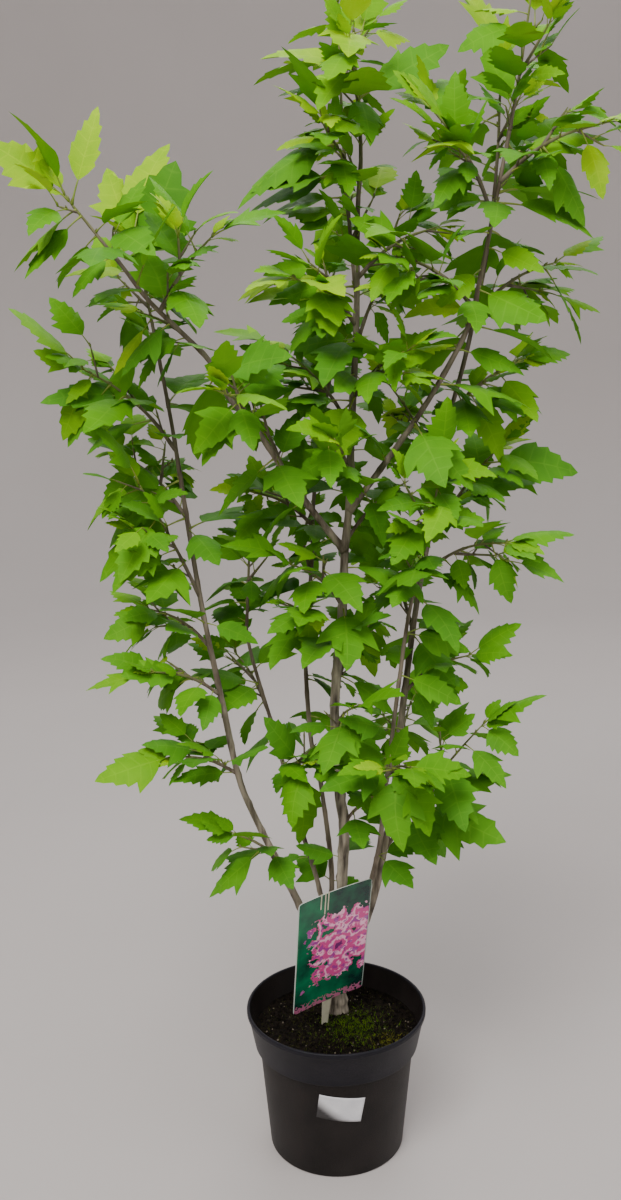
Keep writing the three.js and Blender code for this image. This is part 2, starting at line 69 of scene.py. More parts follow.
def aim_camera():
    """Axes: forward dips by the pitch; right and down turn about it by the roll."""
    pitch, roll = math.radians(CAMERA_PITCH), math.radians(CAMERA_ROLL)
    forward = np.array([0.0, math.cos(pitch), -math.sin(pitch)])
    down = np.array([0.0, -math.sin(pitch), -math.cos(pitch)])
    right = np.array([1.0, 0.0, 0.0])
    image_right = right * math.cos(roll) + down * math.sin(roll)
    image_down = down * math.cos(roll) - right * math.sin(roll)
    lens = bpy.data.cameras.new("camera")
    lens.sensor_width = SENSOR
    lens.lens = FOCAL_PIXELS / FRAME_HEIGHT * SENSOR
    lens.shift_x = (FRAME_WIDTH / 2 - MIDDLE_PIXEL[0]) / FRAME_HEIGHT
    lens.shift_y = (MIDDLE_PIXEL[1] - FRAME_HEIGHT / 2) / FRAME_HEIGHT
    camera = bpy.data.objects.new("camera", lens)
    place = np.eye(4)
    place[:3, :3] = np.stack([image_right, -image_down, -forward], axis=1)
    place[:3, 3] = np.array(CAMERA_PLACE) * MM
    camera.matrix_world = Matrix(place.tolist())
    bpy.context.scene.collection.objects.link(camera)
    bpy.context.scene.camera = camera
    return camera


camera = aim_camera()
print("the camera's focal length is", round(camera.data.lens, 1), "mm")

# %% [markdown]
# ## From whole arrays to a piece
#
# Every new piece is worked out as whole arrays: a table of points in millimetres and tables of
# faces that count into it. Blender takes such arrays with foreach_set in one go, which is many
# times faster than adding points one by one. A piece then rides on the plant's one body, names
# the imported nodes that it stands for, which are hidden, and takes its materials.

# %% Pieces from arrays
BODY = "root"


def new_mesh(name, points, faces, smooth=True, uses=None):
    """Points are (n, 3) in millimetres, and faces a list of (k, corners) index arrays."""
    mesh = bpy.data.meshes.new(name)
    places = np.asarray(points, np.float64) * MM
    corners = np.concatenate([part.ravel() for part in faces])
    sizes = np.concatenate([np.full(len(part), part.shape[1]) for part in faces])
    starts = np.concatenate([[0], np.cumsum(sizes)[:-1]])
    mesh.vertices.add(len(places))
    mesh.vertices.foreach_set("co", places.astype(np.float32).ravel())
    mesh.loops.add(len(corners))
    mesh.loops.foreach_set("vertex_index", corners.astype(np.int32))
    mesh.polygons.add(len(sizes))
    mesh.polygons.foreach_set("loop_start", starts.astype(np.int32))
    mesh.polygons.foreach_set("use_smooth", np.full(len(sizes), smooth))
    if uses is not None:
        mesh.polygons.foreach_set("material_index", np.asarray(uses, np.int32))
    mesh.update(calc_edges=True)
    mesh.validate()
    return mesh


def new_piece(name, mesh, materials, replaces=()):
    """An object at the origin that rides on the plant, in the given materials."""
    piece = bpy.data.objects.new(name, mesh)
    bpy.context.scene.collection.objects.link(piece)
    for material in materials:
        mesh.materials.append(material)
    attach(piece, BODY)
    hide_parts(*replaces)
    return piece


def point_attribute(mesh, name, values):
    """A number, or three, for each point, which a material can read."""
    values = np.asarray(values, np.float32)
    kind, field = ("FLOAT", "value") if values.ndim == 1 else ("FLOAT_VECTOR", "vector")
    mesh.attributes.new(name, kind, "POINT").data.foreach_set(field, values.ravel())


def unit(vectors):
    """Vectors shortened or stretched to length one, along the last axis."""
    return vectors / np.linalg.norm(vectors, axis=-1, keepdims=True)


print("pieces ride on the body", BODY)

# %% [markdown]
# ## The plant's measurements
#
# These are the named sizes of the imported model's own source: the limbs' radii and the lines that
# they follow, the place and pose of each side shoot, and the numbers of the growing rule. They
# are repeated, and not read back from the meshes, because finer twigs and leaves have to grow by
# the same rule from the same stems.

# %% Limbs and side shoots
SOIL_TOP = 141
CLEARANCE = 0.3
FLARE_HEIGHT = 16
FLARE_WIDTH = 5

LIMBS = {
    "trunk": dict(
        foot=6.4, tip=1.5, bare_to=888,
        line=[(3, 26, SOIL_TOP + CLEARANCE), (5, 17, 220), (7, 6, 311), (9, 0, 370), (5, 0, 400),
              (3, 0, 440), (0, -2, 485), (3, -4, 535), (8, -4, 590), (10, -4, 640), (14, -2, 680),
              (16, 3, 740), (19, 8, 790), (21, 10, 840), (21, 10, 888), (22, 5, 928), (24, 0, 960),
              (21, 0, 990), (17, 0, 1045)]),
    "left_outer_stem": dict(
        foot=4.2, tip=1.2, bare_to=800,
        line=[(3, 24, 165), (-12, 8, 215), (-38, -8, 291), (-77, -10, 382), (-93, -10, 429),
              (-105, -8, 499), (-121, 0, 592), (-133, 10, 684), (-141, 14, 752), (-152, 12, 829),
              (-159, 10, 873), (-163, 8, 895)]),
    "right_outer_stem": dict(
        foot=4.3, tip=1.2, bare_to=921,
        line=[(3, 23, 172), (18, 20, 215), (38, 13, 279), (49, 11, 337), (58, 13, 392),
              (65, 18, 473), (80, 26, 597), (98, 32, 696), (103, 34, 743), (119, 42, 804),
              (135, 52, 884), (141, 56, 957), (141, 58, 1025)]),
    "left_inner_stem": dict(
        foot=3.0, tip=1.2, bare_to=560,
        line=[(3, 23, 178), (-8, 23, 240), (-18, 23, 299), (-38, 30, 370), (-58, 38, 453),
              (-81, 42, 543), (-81, 45, 586), (-76, 50, 660)]),
    "right_inner_stem": dict(
        foot=3.0, tip=1.2, bare_to=610,
        line=[(4, 22, 182), (18, 7, 235), (34, -5, 305), (43, -16, 356), (47, -26, 414),
              (59, -26, 526), (68, -20, 590), (84, -22, 660), (92, -28, 724)]),
    "centre_left_stem": dict(
        foot=2.8, tip=1.2, bare_to=740,
        line=[(4, 21, 190), (-3, 25, 260), (-4, 24, 322), (-15, 18, 418), (-23, 25, 456),
              (-27, 35, 549), (-20, 40, 615), (-17, 45, 678), (-11, 50, 731), (3, 55, 811),
              (-4, 60, 868)]),
    "left_bough": dict(
        foot=3.1, tip=1.2, bare_to=874,
        line=[(10, -4, 640), (-12, -12, 668), (-39, -25, 706), (-63, -36, 745), (-87, -45, 774),
              (-101, -50, 802), (-144, -60, 845), (-166, -65, 874), (-203, -70, 920)]),
    "right_bough": dict(
        foot=2.8, tip=1.2, bare_to=963,
        line=[(14, -2, 675), (39, -10, 708), (78, -16, 763), (111, -14, 821), (121, -10, 859),
              (133, -8, 925), (144, -8, 990), (152, -8, 1055)]),
}

# Name, the limb and the height where it springs, its bearing, its length, its rise at the foot
# and its rise at the tip.
SHOOTS = [
    ("trunk_shoot_a", "trunk", 372, -35, 62, 60, 30),
    ("trunk_shoot_b", "trunk", 468, -70, 60, 60, 20),
    ("trunk_shoot_c", "trunk", 508, 60, 92, 60, 25),
    ("trunk_shoot_d", "trunk", 590, -160, 70, 60, 20),
    ("trunk_shoot_e", "trunk", 648, 25, 84, 55, 20),
    ("trunk_shoot_f", "trunk", 700, -105, 70, 55, 15),
    ("trunk_shoot_g", "trunk", 742, 150, 92, 60, 30),
    ("trunk_shoot_h", "trunk", 768, -35, 74, 55, 15),
    ("trunk_shoot_i", "trunk", 806, 60, 96, 60, 30),
    ("trunk_shoot_j", "trunk", 826, -140, 84, 50, 5),
    ("trunk_shoot_k", "trunk", 862, -5, 80, 50, 10),
    ("left_leader", "trunk", 846, 150, 215, 82, 89),
    ("left_stem_shoot_a", "left_outer_stem", 343, 190, 48, 50, 20),
    ("left_stem_shoot_b", "left_outer_stem", 430, 190, 70, 40, 0),
    ("left_stem_shoot_c", "left_outer_stem", 508, 200, 74, 45, 5),
    ("left_stem_shoot_d", "left_outer_stem", 553, 160, 76, 50, 5),
    ("left_stem_shoot_e", "left_outer_stem", 598, 205, 118, 68, 60),
    ("left_stem_shoot_f", "left_outer_stem", 668, 150, 92, 55, 20),
    ("left_stem_shoot_g", "left_outer_stem", 726, 192, 108, 60, 25),
    ("left_inner_shoot_a", "left_inner_stem", 415, -60, 66, 45, 0),
    ("left_inner_shoot_b", "left_inner_stem", 478, 120, 86, 50, 15),
    ("centre_shoot_a", "centre_left_stem", 560, -85, 70, 50, 10),
    ("centre_shoot_b", "centre_left_stem", 610, 110, 90, 60, 25),
    ("centre_shoot_c", "centre_left_stem", 655, 200, 72, 50, 10),
    ("left_bough_shoot_a", "left_bough", 712, 120, 84, 55, 20),
    ("left_bough_shoot_b", "left_bough", 752, -110, 66, 45, 5),
    ("left_bough_shoot_c", "left_bough", 806, 170, 62, 50, 15),
    ("left_bough_shoot_d", "left_bough", 838, 20, 72, 60, 40),
    ("right_stem_shoot_a", "right_outer_stem", 335, -8, 170, 62, 50),
    ("right_stem_shoot_b", "right_outer_stem", 428, 75, 86, 50, 10),
    ("right_stem_shoot_c", "right_outer_stem", 500, -10, 78, 55, 10),
    ("right_stem_shoot_d", "right_outer_stem", 560, 110, 84, 55, 20),
    ("right_stem_shoot_e", "right_outer_stem", 608, -22, 96, 50, 0),
    ("right_stem_shoot_f", "right_outer_stem", 640, 8, 108, 60, 45),
    ("right_stem_shoot_g", "right_outer_stem", 694, 150, 104, 70, 45),
    ("right_stem_shoot_h", "right_outer_stem", 750, 0, 78, 55, 20),
    ("right_stem_shoot_i", "right_outer_stem", 832, 15, 92, 50, 10),
    ("right_inner_shoot", "right_inner_stem", 430, -70, 64, 50, 5),
    ("right_bough_shoot_a", "right_bough", 838, -168, 94, 50, 5),
    ("right_bough_shoot_b", "right_bough", 905, -170, 96, 70, 40),
    ("right_bough_shoot_c", "right_bough", 930, -20, 92, 45, 5),
]

print(len(LIMBS), "limbs and", len(SHOOTS), "side shoots")

# %% The growing rule's numbers
FIRST_SEED, SEED_STEP = 701, 17
LIGHT = np.array([0.0, -0.8, 1.0])
UP = np.array([0.0, 0.0, 1.0])

TWIG_ROOT_RADIUS, TWIG_TIP_RADIUS = 1.9, 1.0
LIMB_CURVE_STEPS = 4
SHOOT_STEP, FEWEST_STEPS = 30, 3
SHOOT_BARE_SHARE, TOP_BARE_LENGTH = 0.3, 6

SIDE_TWIG_EVERY, SIDE_TWIG_FIRST = 60, 0.8
SIDE_TWIG_SHARE = (0.35, 0.5)
SIDE_TWIG_PARENT_MAX, SIDE_TWIG_OPENING, SIDE_TWIG_RISE = 110, 50, 0.2
SIDE_TWIG_TRIES, SIDE_TWIG_TURN_ON, SIDE_TWIG_BARE_LENGTH = 5, 73, 11
SIDE_TWIG_ROOT_SHARE, SIDE_LEAF_SHARE = 0.8, 0.85

LEAF_STEP, LEAF_STEP_SPREAD, GOLDEN_ANGLE = 15.5, 0.2, 137.5
LEAF_LENGTH = (58, 84)
LEAF_SHARE = (0.82, 1.12)
LEAF_AGE_SHRINK, LEAF_OPENING = 0.35, 64
LEAF_DROOP = (0.1, 0.75)
LEAF_TILT, LAST_LEAF_BEFORE, TIP_LEAF_BEFORE = 24, 6, 1
TIP_LEAF_OPENING, TIP_LEAF_SHARE = 22, 0.8
LEAF_TRIES, LEAF_TURN_ON, LEAF_CLOSE_UP, LEAF_SHRINK = 6, 61, 5, 0.08

LEAF_GAP, SPACE_MARGIN, LIMB_MARGIN = 5, 1.2, 3.5
LIMB_SAMPLES, SOIL_MARGIN = 20, 20

LEAF_OUTLINE = [(0.52, 0.3), (0.68, 0.17), (1, 0), (0.68, -0.17), (0.52, -0.3)]
LEAF_PROBES = [(0.3, 0), (0.5, 0), (0.75, 0), (0.3, 0.16), (0.3, -0.16)]
PROBES = np.array(LEAF_PROBES + LEAF_OUTLINE)

print("a mass takes its seed from", FIRST_SEED, "on, in steps of", SEED_STEP)

# %% [markdown]
# ## Lines, and dice that always fall the same way
#
# A line is a table of points with the length walked to each. The dice are a small multiplying
# generator, the same one as in the model's source, because Blender's and numpy's own random
# numbers differ from it and the twigs would then leave their solids.

# %% Lines and dice


def dice(seed):
    """State times 48271, modulo 2^31 - 1, as a share of the modulus between low and high."""
    modulus = 2147483647
    state = (seed * 69621 + 7) % modulus

    def roll(low, high):
        """The next number, between low and high."""
        nonlocal state
        state = (state * 48271) % modulus
        return low + (high - low) * state / modulus

    return roll


class Line:
    """Points, the length walked to each of them, and the whole length."""

    def __init__(self, points):
        """The length walked to a point is the sum of the steps before it."""
        self.points = np.asarray(points, float)
        steps = np.linalg.norm(np.diff(self.points, axis=0), axis=1)
        self.lengths = np.concatenate([[0.0], np.cumsum(steps)])
        self.total = self.lengths[-1]

    def at(self, distance):
        """The points at the given lengths, straight between the line's own points."""
        return np.stack([np.interp(distance, self.lengths, axis) for axis in self.points.T], axis=-1)

    def heading(self, distance, reach=3.0):
        """The direction between two points a little before and after."""
        centre = np.clip(distance, reach, self.total - reach)
        return unit(self.at(centre + reach) - self.at(centre - reach))

    def at_height(self, height):
        """The length walked where the line, which always rises, reaches a height."""
        return float(np.interp(height, self.points[:, 2], self.lengths))

    def stretch(self, low, high, steps):
        """The stretch between two lengths, in even steps."""
        return Line(self.at(np.linspace(low, high, steps + 1)))


def smooth_curve(points, steps):
    """Catmull-Rom: on each span a cubic with slopes of half the chord between its neighbours."""
    points = np.asarray(points, float)
    before = np.vstack([2 * points[0] - points[1], points[:-2]])
    after = np.vstack([points[2:], 2 * points[-1] - points[-2]])
    low, high = points[:-1, None], points[1:, None]
    slope_low = 0.5 * (high - before[:, None])
    slope_high = 0.5 * (after[:, None] - low)
    t = (np.arange(steps) / steps)[None, :, None]
    curve = (low + slope_low * t + (3 * (high - low) - 2 * slope_low - slope_high) * t**2
             + (2 * (low - high) + slope_low + slope_high) * t**3)
    return np.vstack([curve.reshape(-1, 3), points[-1:]])


def shoot_line(limb_line, height, bearing, length, rise_foot, rise_tip):
    """A quadratic curve: half the length at the foot's rise, and half at the tip's."""
    start = limb_line.at(limb_line.at_height(height))
    turn = math.radians(bearing)
    slopes = np.radians([rise_foot, rise_tip])
    flat = np.cos(slopes)
    headings = np.stack([flat * math.cos(turn), flat * math.sin(turn), np.sin(slopes)], 1)
    bend = start + headings[0] * length / 2
    tip = bend + headings[1] * length / 2
    steps = max(FEWEST_STEPS, math.floor(length / SHOOT_STEP + 0.5))
    t = np.linspace(0, 1, steps + 1)[:, None]
    return Line(start * (1 - t) ** 2 + bend * 2 * t * (1 - t) + tip * t * t)


limb_lines = {name: Line(smooth_curve(limb["line"], LIMB_CURVE_STEPS)) for name, limb in LIMBS.items()}
bare_lengths = {name: limb_lines[name].at_height(limb["bare_to"]) for name, limb in LIMBS.items()}
print("the trunk is", round(limb_lines["trunk"].total), "mm long")

# %% [markdown]
# ## Foliage masses and the room of each
#
# Each mass has one main twig, its spine, and keeps to the space that is nearer to its own spine
# than to any other. The test measures many points against all the spines at once: with every
# straight stretch in one table, the nearest distance is one array sum.

# %% Masses and their room


def limb_radius(name, distance):
    """A straight taper from foot to tip, with the trunk's flare dying away as it rises."""
    limb, line = LIMBS[name], limb_lines[name]
    taper = limb["foot"] + (limb["tip"] - limb["foot"]) * np.minimum(distance / line.total, 1)
    flare = FLARE_WIDTH * np.exp(-np.asarray(distance) / FLARE_HEIGHT) if name == "trunk" else 0.0
    return taper + flare


def list_masses():
    """The side shoots in their order, and then each limb's own leafy top."""
    masses = []
    for name, limb, height, bearing, length, rise_foot, rise_tip in SHOOTS:
        spine = shoot_line(limb_lines[limb], height, bearing, length, rise_foot, rise_tip)
        masses.append(dict(name=name, limb=limb, spine=spine, bare=SHOOT_BARE_SHARE * length,
                           root=TWIG_ROOT_RADIUS))
    for name, line in limb_lines.items():
        low = bare_lengths[name] + CLEARANCE
        steps = max(FEWEST_STEPS, math.floor((line.total - low) / SHOOT_STEP + 0.5))
        masses.append(dict(name=f"{name}_top", limb=name, spine=line.stretch(low, line.total, steps),
                           bare=TOP_BARE_LENGTH, root=float(limb_radius(name, low))))
    for index, mass in enumerate(masses):
        mass["index"] = index
        mass["seed"] = FIRST_SEED + SEED_STEP * index
    return masses


def stretches(lines):
    """All straight stretches of the lines: where each starts, where it leads, and its line."""
    starts = np.vstack([line.points[:-1] for line in lines])
    leads = np.vstack([np.diff(line.points, axis=0) for line in lines])
    owners = np.concatenate([np.full(len(line.points) - 1, k) for k, line in enumerate(lines)])
    return starts, leads, owners


def distances(points, table):
    """From each point to each stretch: the foot of the perpendicular, kept on the stretch."""
    starts, leads, _ = table
    away = points[:, None] - starts[None]
    share = np.clip((away * leads).sum(2) / (leads * leads).sum(1), 0, 1)
    return np.linalg.norm(away - leads * share[..., None], axis=2)


masses = list_masses()
spine_table = stretches([mass["spine"] for mass in masses])
bare_table = stretches([limb_lines[name].stretch(0, bare_lengths[name], LIMB_SAMPLES) for name in LIMBS])
bare_radii = np.array([LIMBS[name]["foot"] for name in LIMBS])[bare_table[2]]


def is_free(points, mass):
    """True where all points are nearest to the mass's own spine, clear of bare wood and soil."""
    touching = (distances(points, bare_table) < bare_radii + LIMB_MARGIN).any(1)
    if (touching | (points[:, 2] <= SOIL_TOP + SOIL_MARGIN)).any():
        return False
    if mass is None:
        return True
    reach = distances(points, spine_table)
    own = spine_table[2] == mass["index"]
    return not (reach[:, ~own].min(1) < reach[:, own].min(1) + SPACE_MARGIN).any()


print(len(masses), "masses, with", len(spine_table[0]), "stretches of spine")

# %% [markdown]
# ## Growing
#
# Leaves spiral up a twig by the golden angle, open outwards, droop by their own weight and turn
# their faces to the light. A leaf that finds no room turns, closes up and shrinks a little, a few
# times over, and is left out if that doesn't help. After the source's own twigs and leaves come
# short spurs and smaller leaves, which fill in between them inside the same room. How close they
# stand depends on the height in the crown and on the mass.

# %% Finding room for a leaf


def square_to(heading):
    """Two directions square to a heading, always picked the same way."""
    helper = np.array([1.0, 0, 0]) if abs(heading[0]) < 0.9 else np.array([0, 1.0, 0])
    first = unit(helper - heading * heading.dot(helper))
    return first, np.cross(heading, first)


def place_leaf(root, heading, opening, turn, droop, roll, length):
    """Ahead leans out from the twig and down; face is the light's direction made square to it."""
    first, second = square_to(heading)
    angle, spread, tilt = math.radians(turn), math.radians(opening), math.radians(roll)
    outward = first * math.cos(angle) + second * math.sin(angle)
    ahead = unit(outward * math.sin(spread) + heading * math.cos(spread) - UP * droop)
    face = unit(LIGHT - ahead * LIGHT.dot(ahead))
    across = np.cross(ahead, face)
    return dict(root=root, ahead=ahead, length=length,
                across=across * math.cos(tilt) + face * math.sin(tilt),
                face=face * math.cos(tilt) - across * math.sin(tilt))


def leaf_places(leaf, shares=PROBES):
    """Places on a leaf given as shares of its length ahead and across."""
    steps = shares[:, :1] * leaf["ahead"] + shares[:, 1:] * leaf["across"]
    return leaf["root"] + steps * leaf["length"]


def try_leaf(mass, grown, twig, distance, opening, turn, droop, tilt, length, gap=LEAF_GAP, **facts):
    """Adds one leaf where there is room for it, after a few tries."""
    root, heading = twig.at(distance), twig.heading(distance)
    taken = grown["probes"]
    taken = taken[(np.abs(taken - root) < 2 * length).all(1)]
    for attempt in range(LEAF_TRIES):
        size = length * (1 - LEAF_SHRINK * attempt)
        leaf = place_leaf(root, heading, opening - LEAF_CLOSE_UP * attempt,
                          turn + LEAF_TURN_ON * attempt, droop, tilt, size)
        probes = leaf_places(leaf)
        apart = np.linalg.norm(probes[:, None] - taken[None], axis=2).min(initial=math.inf) > gap
        if apart and is_free(probes, mass):
            grown["probes"] = np.vstack([grown["probes"], probes])
            grown["leaves"].append({**leaf, **facts})
            return


print("a leaf is tried up to", LEAF_TRIES, "times")

# %% Growing the source's own twigs and leaves


def grow_twig(mass, grown, twig, start, leaf_size, roll):
    """Leaves along one twig in even steps, smaller towards its tip, and one at the tip."""
    turn, distance = roll(0, 360), start
    while distance < twig.total - LAST_LEAF_BEFORE:
        age = distance / twig.total
        length = leaf_size * roll(*LEAF_SHARE) * (1 - LEAF_AGE_SHRINK * age * age)
        droop = roll(*LEAF_DROOP)
        tilt = roll(-LEAF_TILT, LEAF_TILT)
        try_leaf(mass, grown, twig, distance, LEAF_OPENING, turn, droop, tilt, length, age=age)
        turn += GOLDEN_ANGLE
        distance += LEAF_STEP * roll(1 - LEAF_STEP_SPREAD, 1 + LEAF_STEP_SPREAD)
    tip_tilt = roll(-LEAF_TILT, LEAF_TILT)
    try_leaf(mass, grown, twig, twig.total - TIP_LEAF_BEFORE, TIP_LEAF_OPENING, turn, 0, tip_tilt,
             leaf_size * TIP_LEAF_SHARE, age=1.0)


def side_twig(mass, parent, distance, length, turn, tries):
    """A straight twig off its parent, if its middle and tip have room."""
    root, heading = parent.at(distance), parent.heading(distance)
    for attempt in range(tries):
        pose = place_leaf(root, heading, SIDE_TWIG_OPENING, turn + SIDE_TWIG_TURN_ON * attempt,
                          -SIDE_TWIG_RISE, 0, length)
        tip = leaf_places(pose, np.array([[1.0, 0.0]]))
        middle = leaf_places(pose, np.array([[0.5, 0.0]]))
        if is_free(np.vstack([middle, tip]), mass):
            return Line(np.vstack([root, tip]))
    return None


def grow_mass(mass):
    """The source's own twigs and leaves of one mass."""
    roll = dice(mass["seed"])
    size = roll(*LEAF_LENGTH)
    spine = mass["spine"]
    grown = dict(twigs=[(spine, mass["root"])], leaves=[], probes=np.zeros((0, 3)))
    grow_twig(mass, grown, spine, mass["bare"], size, roll)
    count = math.floor(spine.total / SIDE_TWIG_EVERY)
    for k in range(count):
        distance = spine.total * ((k + SIDE_TWIG_FIRST) / (count + SIDE_TWIG_FIRST))
        length = roll(*SIDE_TWIG_SHARE) * min(spine.total, SIDE_TWIG_PARENT_MAX)
        turn = roll(0, 360)
        twig = side_twig(mass, spine, distance, length, turn, SIDE_TWIG_TRIES)
        if twig is not None:
            grown["twigs"].append((twig, TWIG_ROOT_RADIUS * SIDE_TWIG_ROOT_SHARE))
            grow_twig(mass, grown, twig, SIDE_TWIG_BARE_LENGTH, size * SIDE_LEAF_SHARE, roll)
    return grown


print("a side twig springs about every", SIDE_TWIG_EVERY, "mm of its parent")

# %% Finer growth between the source's own
FINE_SEED = 90001
FINE_GAP = 3.5
FINE_LEAF_LENGTH, FINE_LEAF_STEP = (28, 56), 24
FINE_LEAF_OPENING, FINE_LEAF_DROOP = (40, 80), (0.1, 0.8)
FINE_LEAF_LOW, FINE_LEAF_LOW_SHARE, FINE_LEAF_HIGH = 5, 0.4, 3
STEP_SPREAD = (0.8, 1.2)

SPUR_LENGTH, SPUR_EVERY, SPUR_TRIES = (14, 28), 44, 3
SPUR_LOW, SPUR_LOW_SHARE, SPUR_HIGH = 6, 0.6, 8
SPUR_RADIUS = 0.9 * TWIG_TIP_RADIUS
SPUR_LEAVES = (0.55, 0.98)
SPUR_LEAF_OPENING, SPUR_LEAF_DROOP = (25, 60), (-0.1, 0.5)

YOUNG_LEAVES, YOUNG_LEAF_LENGTH = 3, (18, 40)
YOUNG_OPENING, YOUNG_DROOP, YOUNG_STEP = 12, -0.1, 2
YOUNG_GAP, YOUNG_AGE = 1.5, 1.25

# How thick the finer growth is at each height: its steps are divided by this share
GROWTH_HEIGHTS = (340, 470, 560, 700, 800, 860, 930, 980)
GROWTH_SHARES = (0.3, 0.6, 0.9, 0.85, 0.8, 1.25, 1.1, 0.5)
# Masses that the finer growth fills more or less than their height alone would have it
GROWTH_OF = {
    "left_bough_shoot_d": 0.3, "left_stem_shoot_g": 0.7, "right_stem_shoot_i": 0.5,
    "right_stem_shoot_a": 0.7, "right_stem_shoot_g": 1.4, "trunk_shoot_k": 1.4,
    "right_bough_shoot_a": 1.5, "right_bough_shoot_b": 1.4, "right_outer_stem_top": 1.3,
}


def growth_at(height):
    """The crown is thin at its foot, and densest and largest in leaf near its top."""
    return float(np.interp(height, GROWTH_HEIGHTS, GROWTH_SHARES))


def roll_leaf(mass, grown, twig, distance, roll, opening, droop, length, larger=1.0, **facts):
    """A leaf with its opening, turn, droop, tilt and length rolled in that order."""
    try_leaf(mass, grown, twig, distance, roll(*opening), roll(0, 360), roll(*droop),
             roll(-LEAF_TILT, LEAF_TILT), roll(*length) * larger, **facts)


def grow_fine_leaves(mass, grown, twig, roll, fullness):
    """Smaller leaves in steps along a twig, closer together where the growth is thick."""
    distance = max(mass["bare"] * FINE_LEAF_LOW_SHARE, FINE_LEAF_LOW)
    while distance < twig.total - FINE_LEAF_HIGH:
        growth = growth_at(twig.at(distance)[2])
        roll_leaf(mass, grown, twig, distance, roll, FINE_LEAF_OPENING, FINE_LEAF_DROOP,
                  FINE_LEAF_LENGTH, max(growth, 1.0), gap=FINE_GAP, age=distance / twig.total)
        distance += FINE_LEAF_STEP * roll(*STEP_SPREAD) / (growth * fullness)


def grow_spurs(mass, grown, twig, roll, fullness):
    """Short twigs off a twig, each with a leaf on its way and one at its end."""
    distance = max(mass["bare"] * SPUR_LOW_SHARE, SPUR_LOW)
    while distance < twig.total - SPUR_HIGH:
        spur = side_twig(mass, twig, distance, roll(*SPUR_LENGTH), roll(0, 360), SPUR_TRIES)
        if spur is not None:
            grown["twigs"].append((spur, SPUR_RADIUS))
            for place in SPUR_LEAVES:
                roll_leaf(mass, grown, spur, spur.total * place, roll, SPUR_LEAF_OPENING,
                          SPUR_LEAF_DROOP, FINE_LEAF_LENGTH, gap=FINE_GAP,
                          age=0.5 + 0.5 * distance / twig.total)
        growth = growth_at(twig.at(distance)[2]) * fullness
        distance += SPUR_EVERY * roll(*STEP_SPREAD) / growth


def grow_finer(mass, grown):
    """Finer leaves and spurs on each of the mass's own twigs, and young leaves at their tips."""
    roll = dice(FINE_SEED + mass["seed"])
    fullness = GROWTH_OF.get(mass["name"], 1.0)
    for twig, _ in list(grown["twigs"]):
        grow_fine_leaves(mass, grown, twig, roll, fullness)
        grow_spurs(mass, grown, twig, roll, fullness)
        for k in range(YOUNG_LEAVES):
            try_leaf(mass, grown, twig, twig.total - YOUNG_STEP * k - 1, YOUNG_OPENING * (k + 1),
                     roll(0, 360), YOUNG_DROOP, roll(-LEAF_TILT, LEAF_TILT),
                     roll(*YOUNG_LEAF_LENGTH), gap=YOUNG_GAP, age=YOUNG_AGE)


print("at 900 mm the steps of the finer growth are divided by", round(growth_at(900), 2))

# %% [markdown]
# ## Leaves on the bare wood
#
# The lower stems carry a few leaves straight off their wood, from the old leaf places. They keep
# clear of all the leaves that are there already.

# %% Leaves on the bare wood
WOOD_SEED, WOOD_SEED_STEP = 52001, 97
WOOD_LEAVES = 2
WOOD_LEAF_LENGTH, WOOD_OPENING, WOOD_DROOP = (44, 80), (45, 85), (0.1, 0.9)
WOOD_GAP, WOOD_AGE = 4.0, 0.1
WOOD_SCATTER, WOOD_STEP_SPREAD, WOOD_END = 3, (0.75, 1.25), 4
# The height from which each limb carries leaves on its bare wood, and the steps between them
WOOD_STEPS = {
    "trunk": (335, 26), "left_outer_stem": (350, 75), "right_outer_stem": (430, 60),
    "left_inner_stem": (325, 34), "right_inner_stem": (345, 36), "centre_left_stem": (300, 30),
    "left_bough": (655, 42), "right_bough": (690, 36),
}


def grow_on_wood(name, index, taken):
    """Leaves straight off a limb's bare wood, a few from each old leaf place."""
    roll = dice(WOOD_SEED + WOOD_SEED_STEP * index)
    line = limb_lines[name]
    grown = dict(leaves=[], probes=taken)
    low, step = WOOD_STEPS[name]
    distance = line.at_height(low)
    while distance < bare_lengths[name] - WOOD_END:
        growth = growth_at(line.at(distance)[2])
        for _ in range(WOOD_LEAVES):
            place = distance + roll(-WOOD_SCATTER, WOOD_SCATTER)
            roll_leaf(None, grown, line, place, roll, WOOD_OPENING, WOOD_DROOP,
                      WOOD_LEAF_LENGTH, gap=WOOD_GAP, age=WOOD_AGE)
        distance += step * roll(*WOOD_STEP_SPREAD) / growth
    return grown


print("leaves on the wood of", len(WOOD_STEPS), "limbs")

# %% [markdown]
# ## Large leaves listed one by one
#
# Some large leaves stand out, most of all at the crown's edge, and show how the shrub grows. A rule
# would scatter them, so each is listed one by one: the mass or limb that it springs from, its share along
# it, its bearing and rise, its length, its half width as a share of its blade, and its green.

# %% Large leaves listed one by one
LIME, BRIGHT, CLEAR, MID, DEEP = range(5)
MARKED_AGE = 0.5
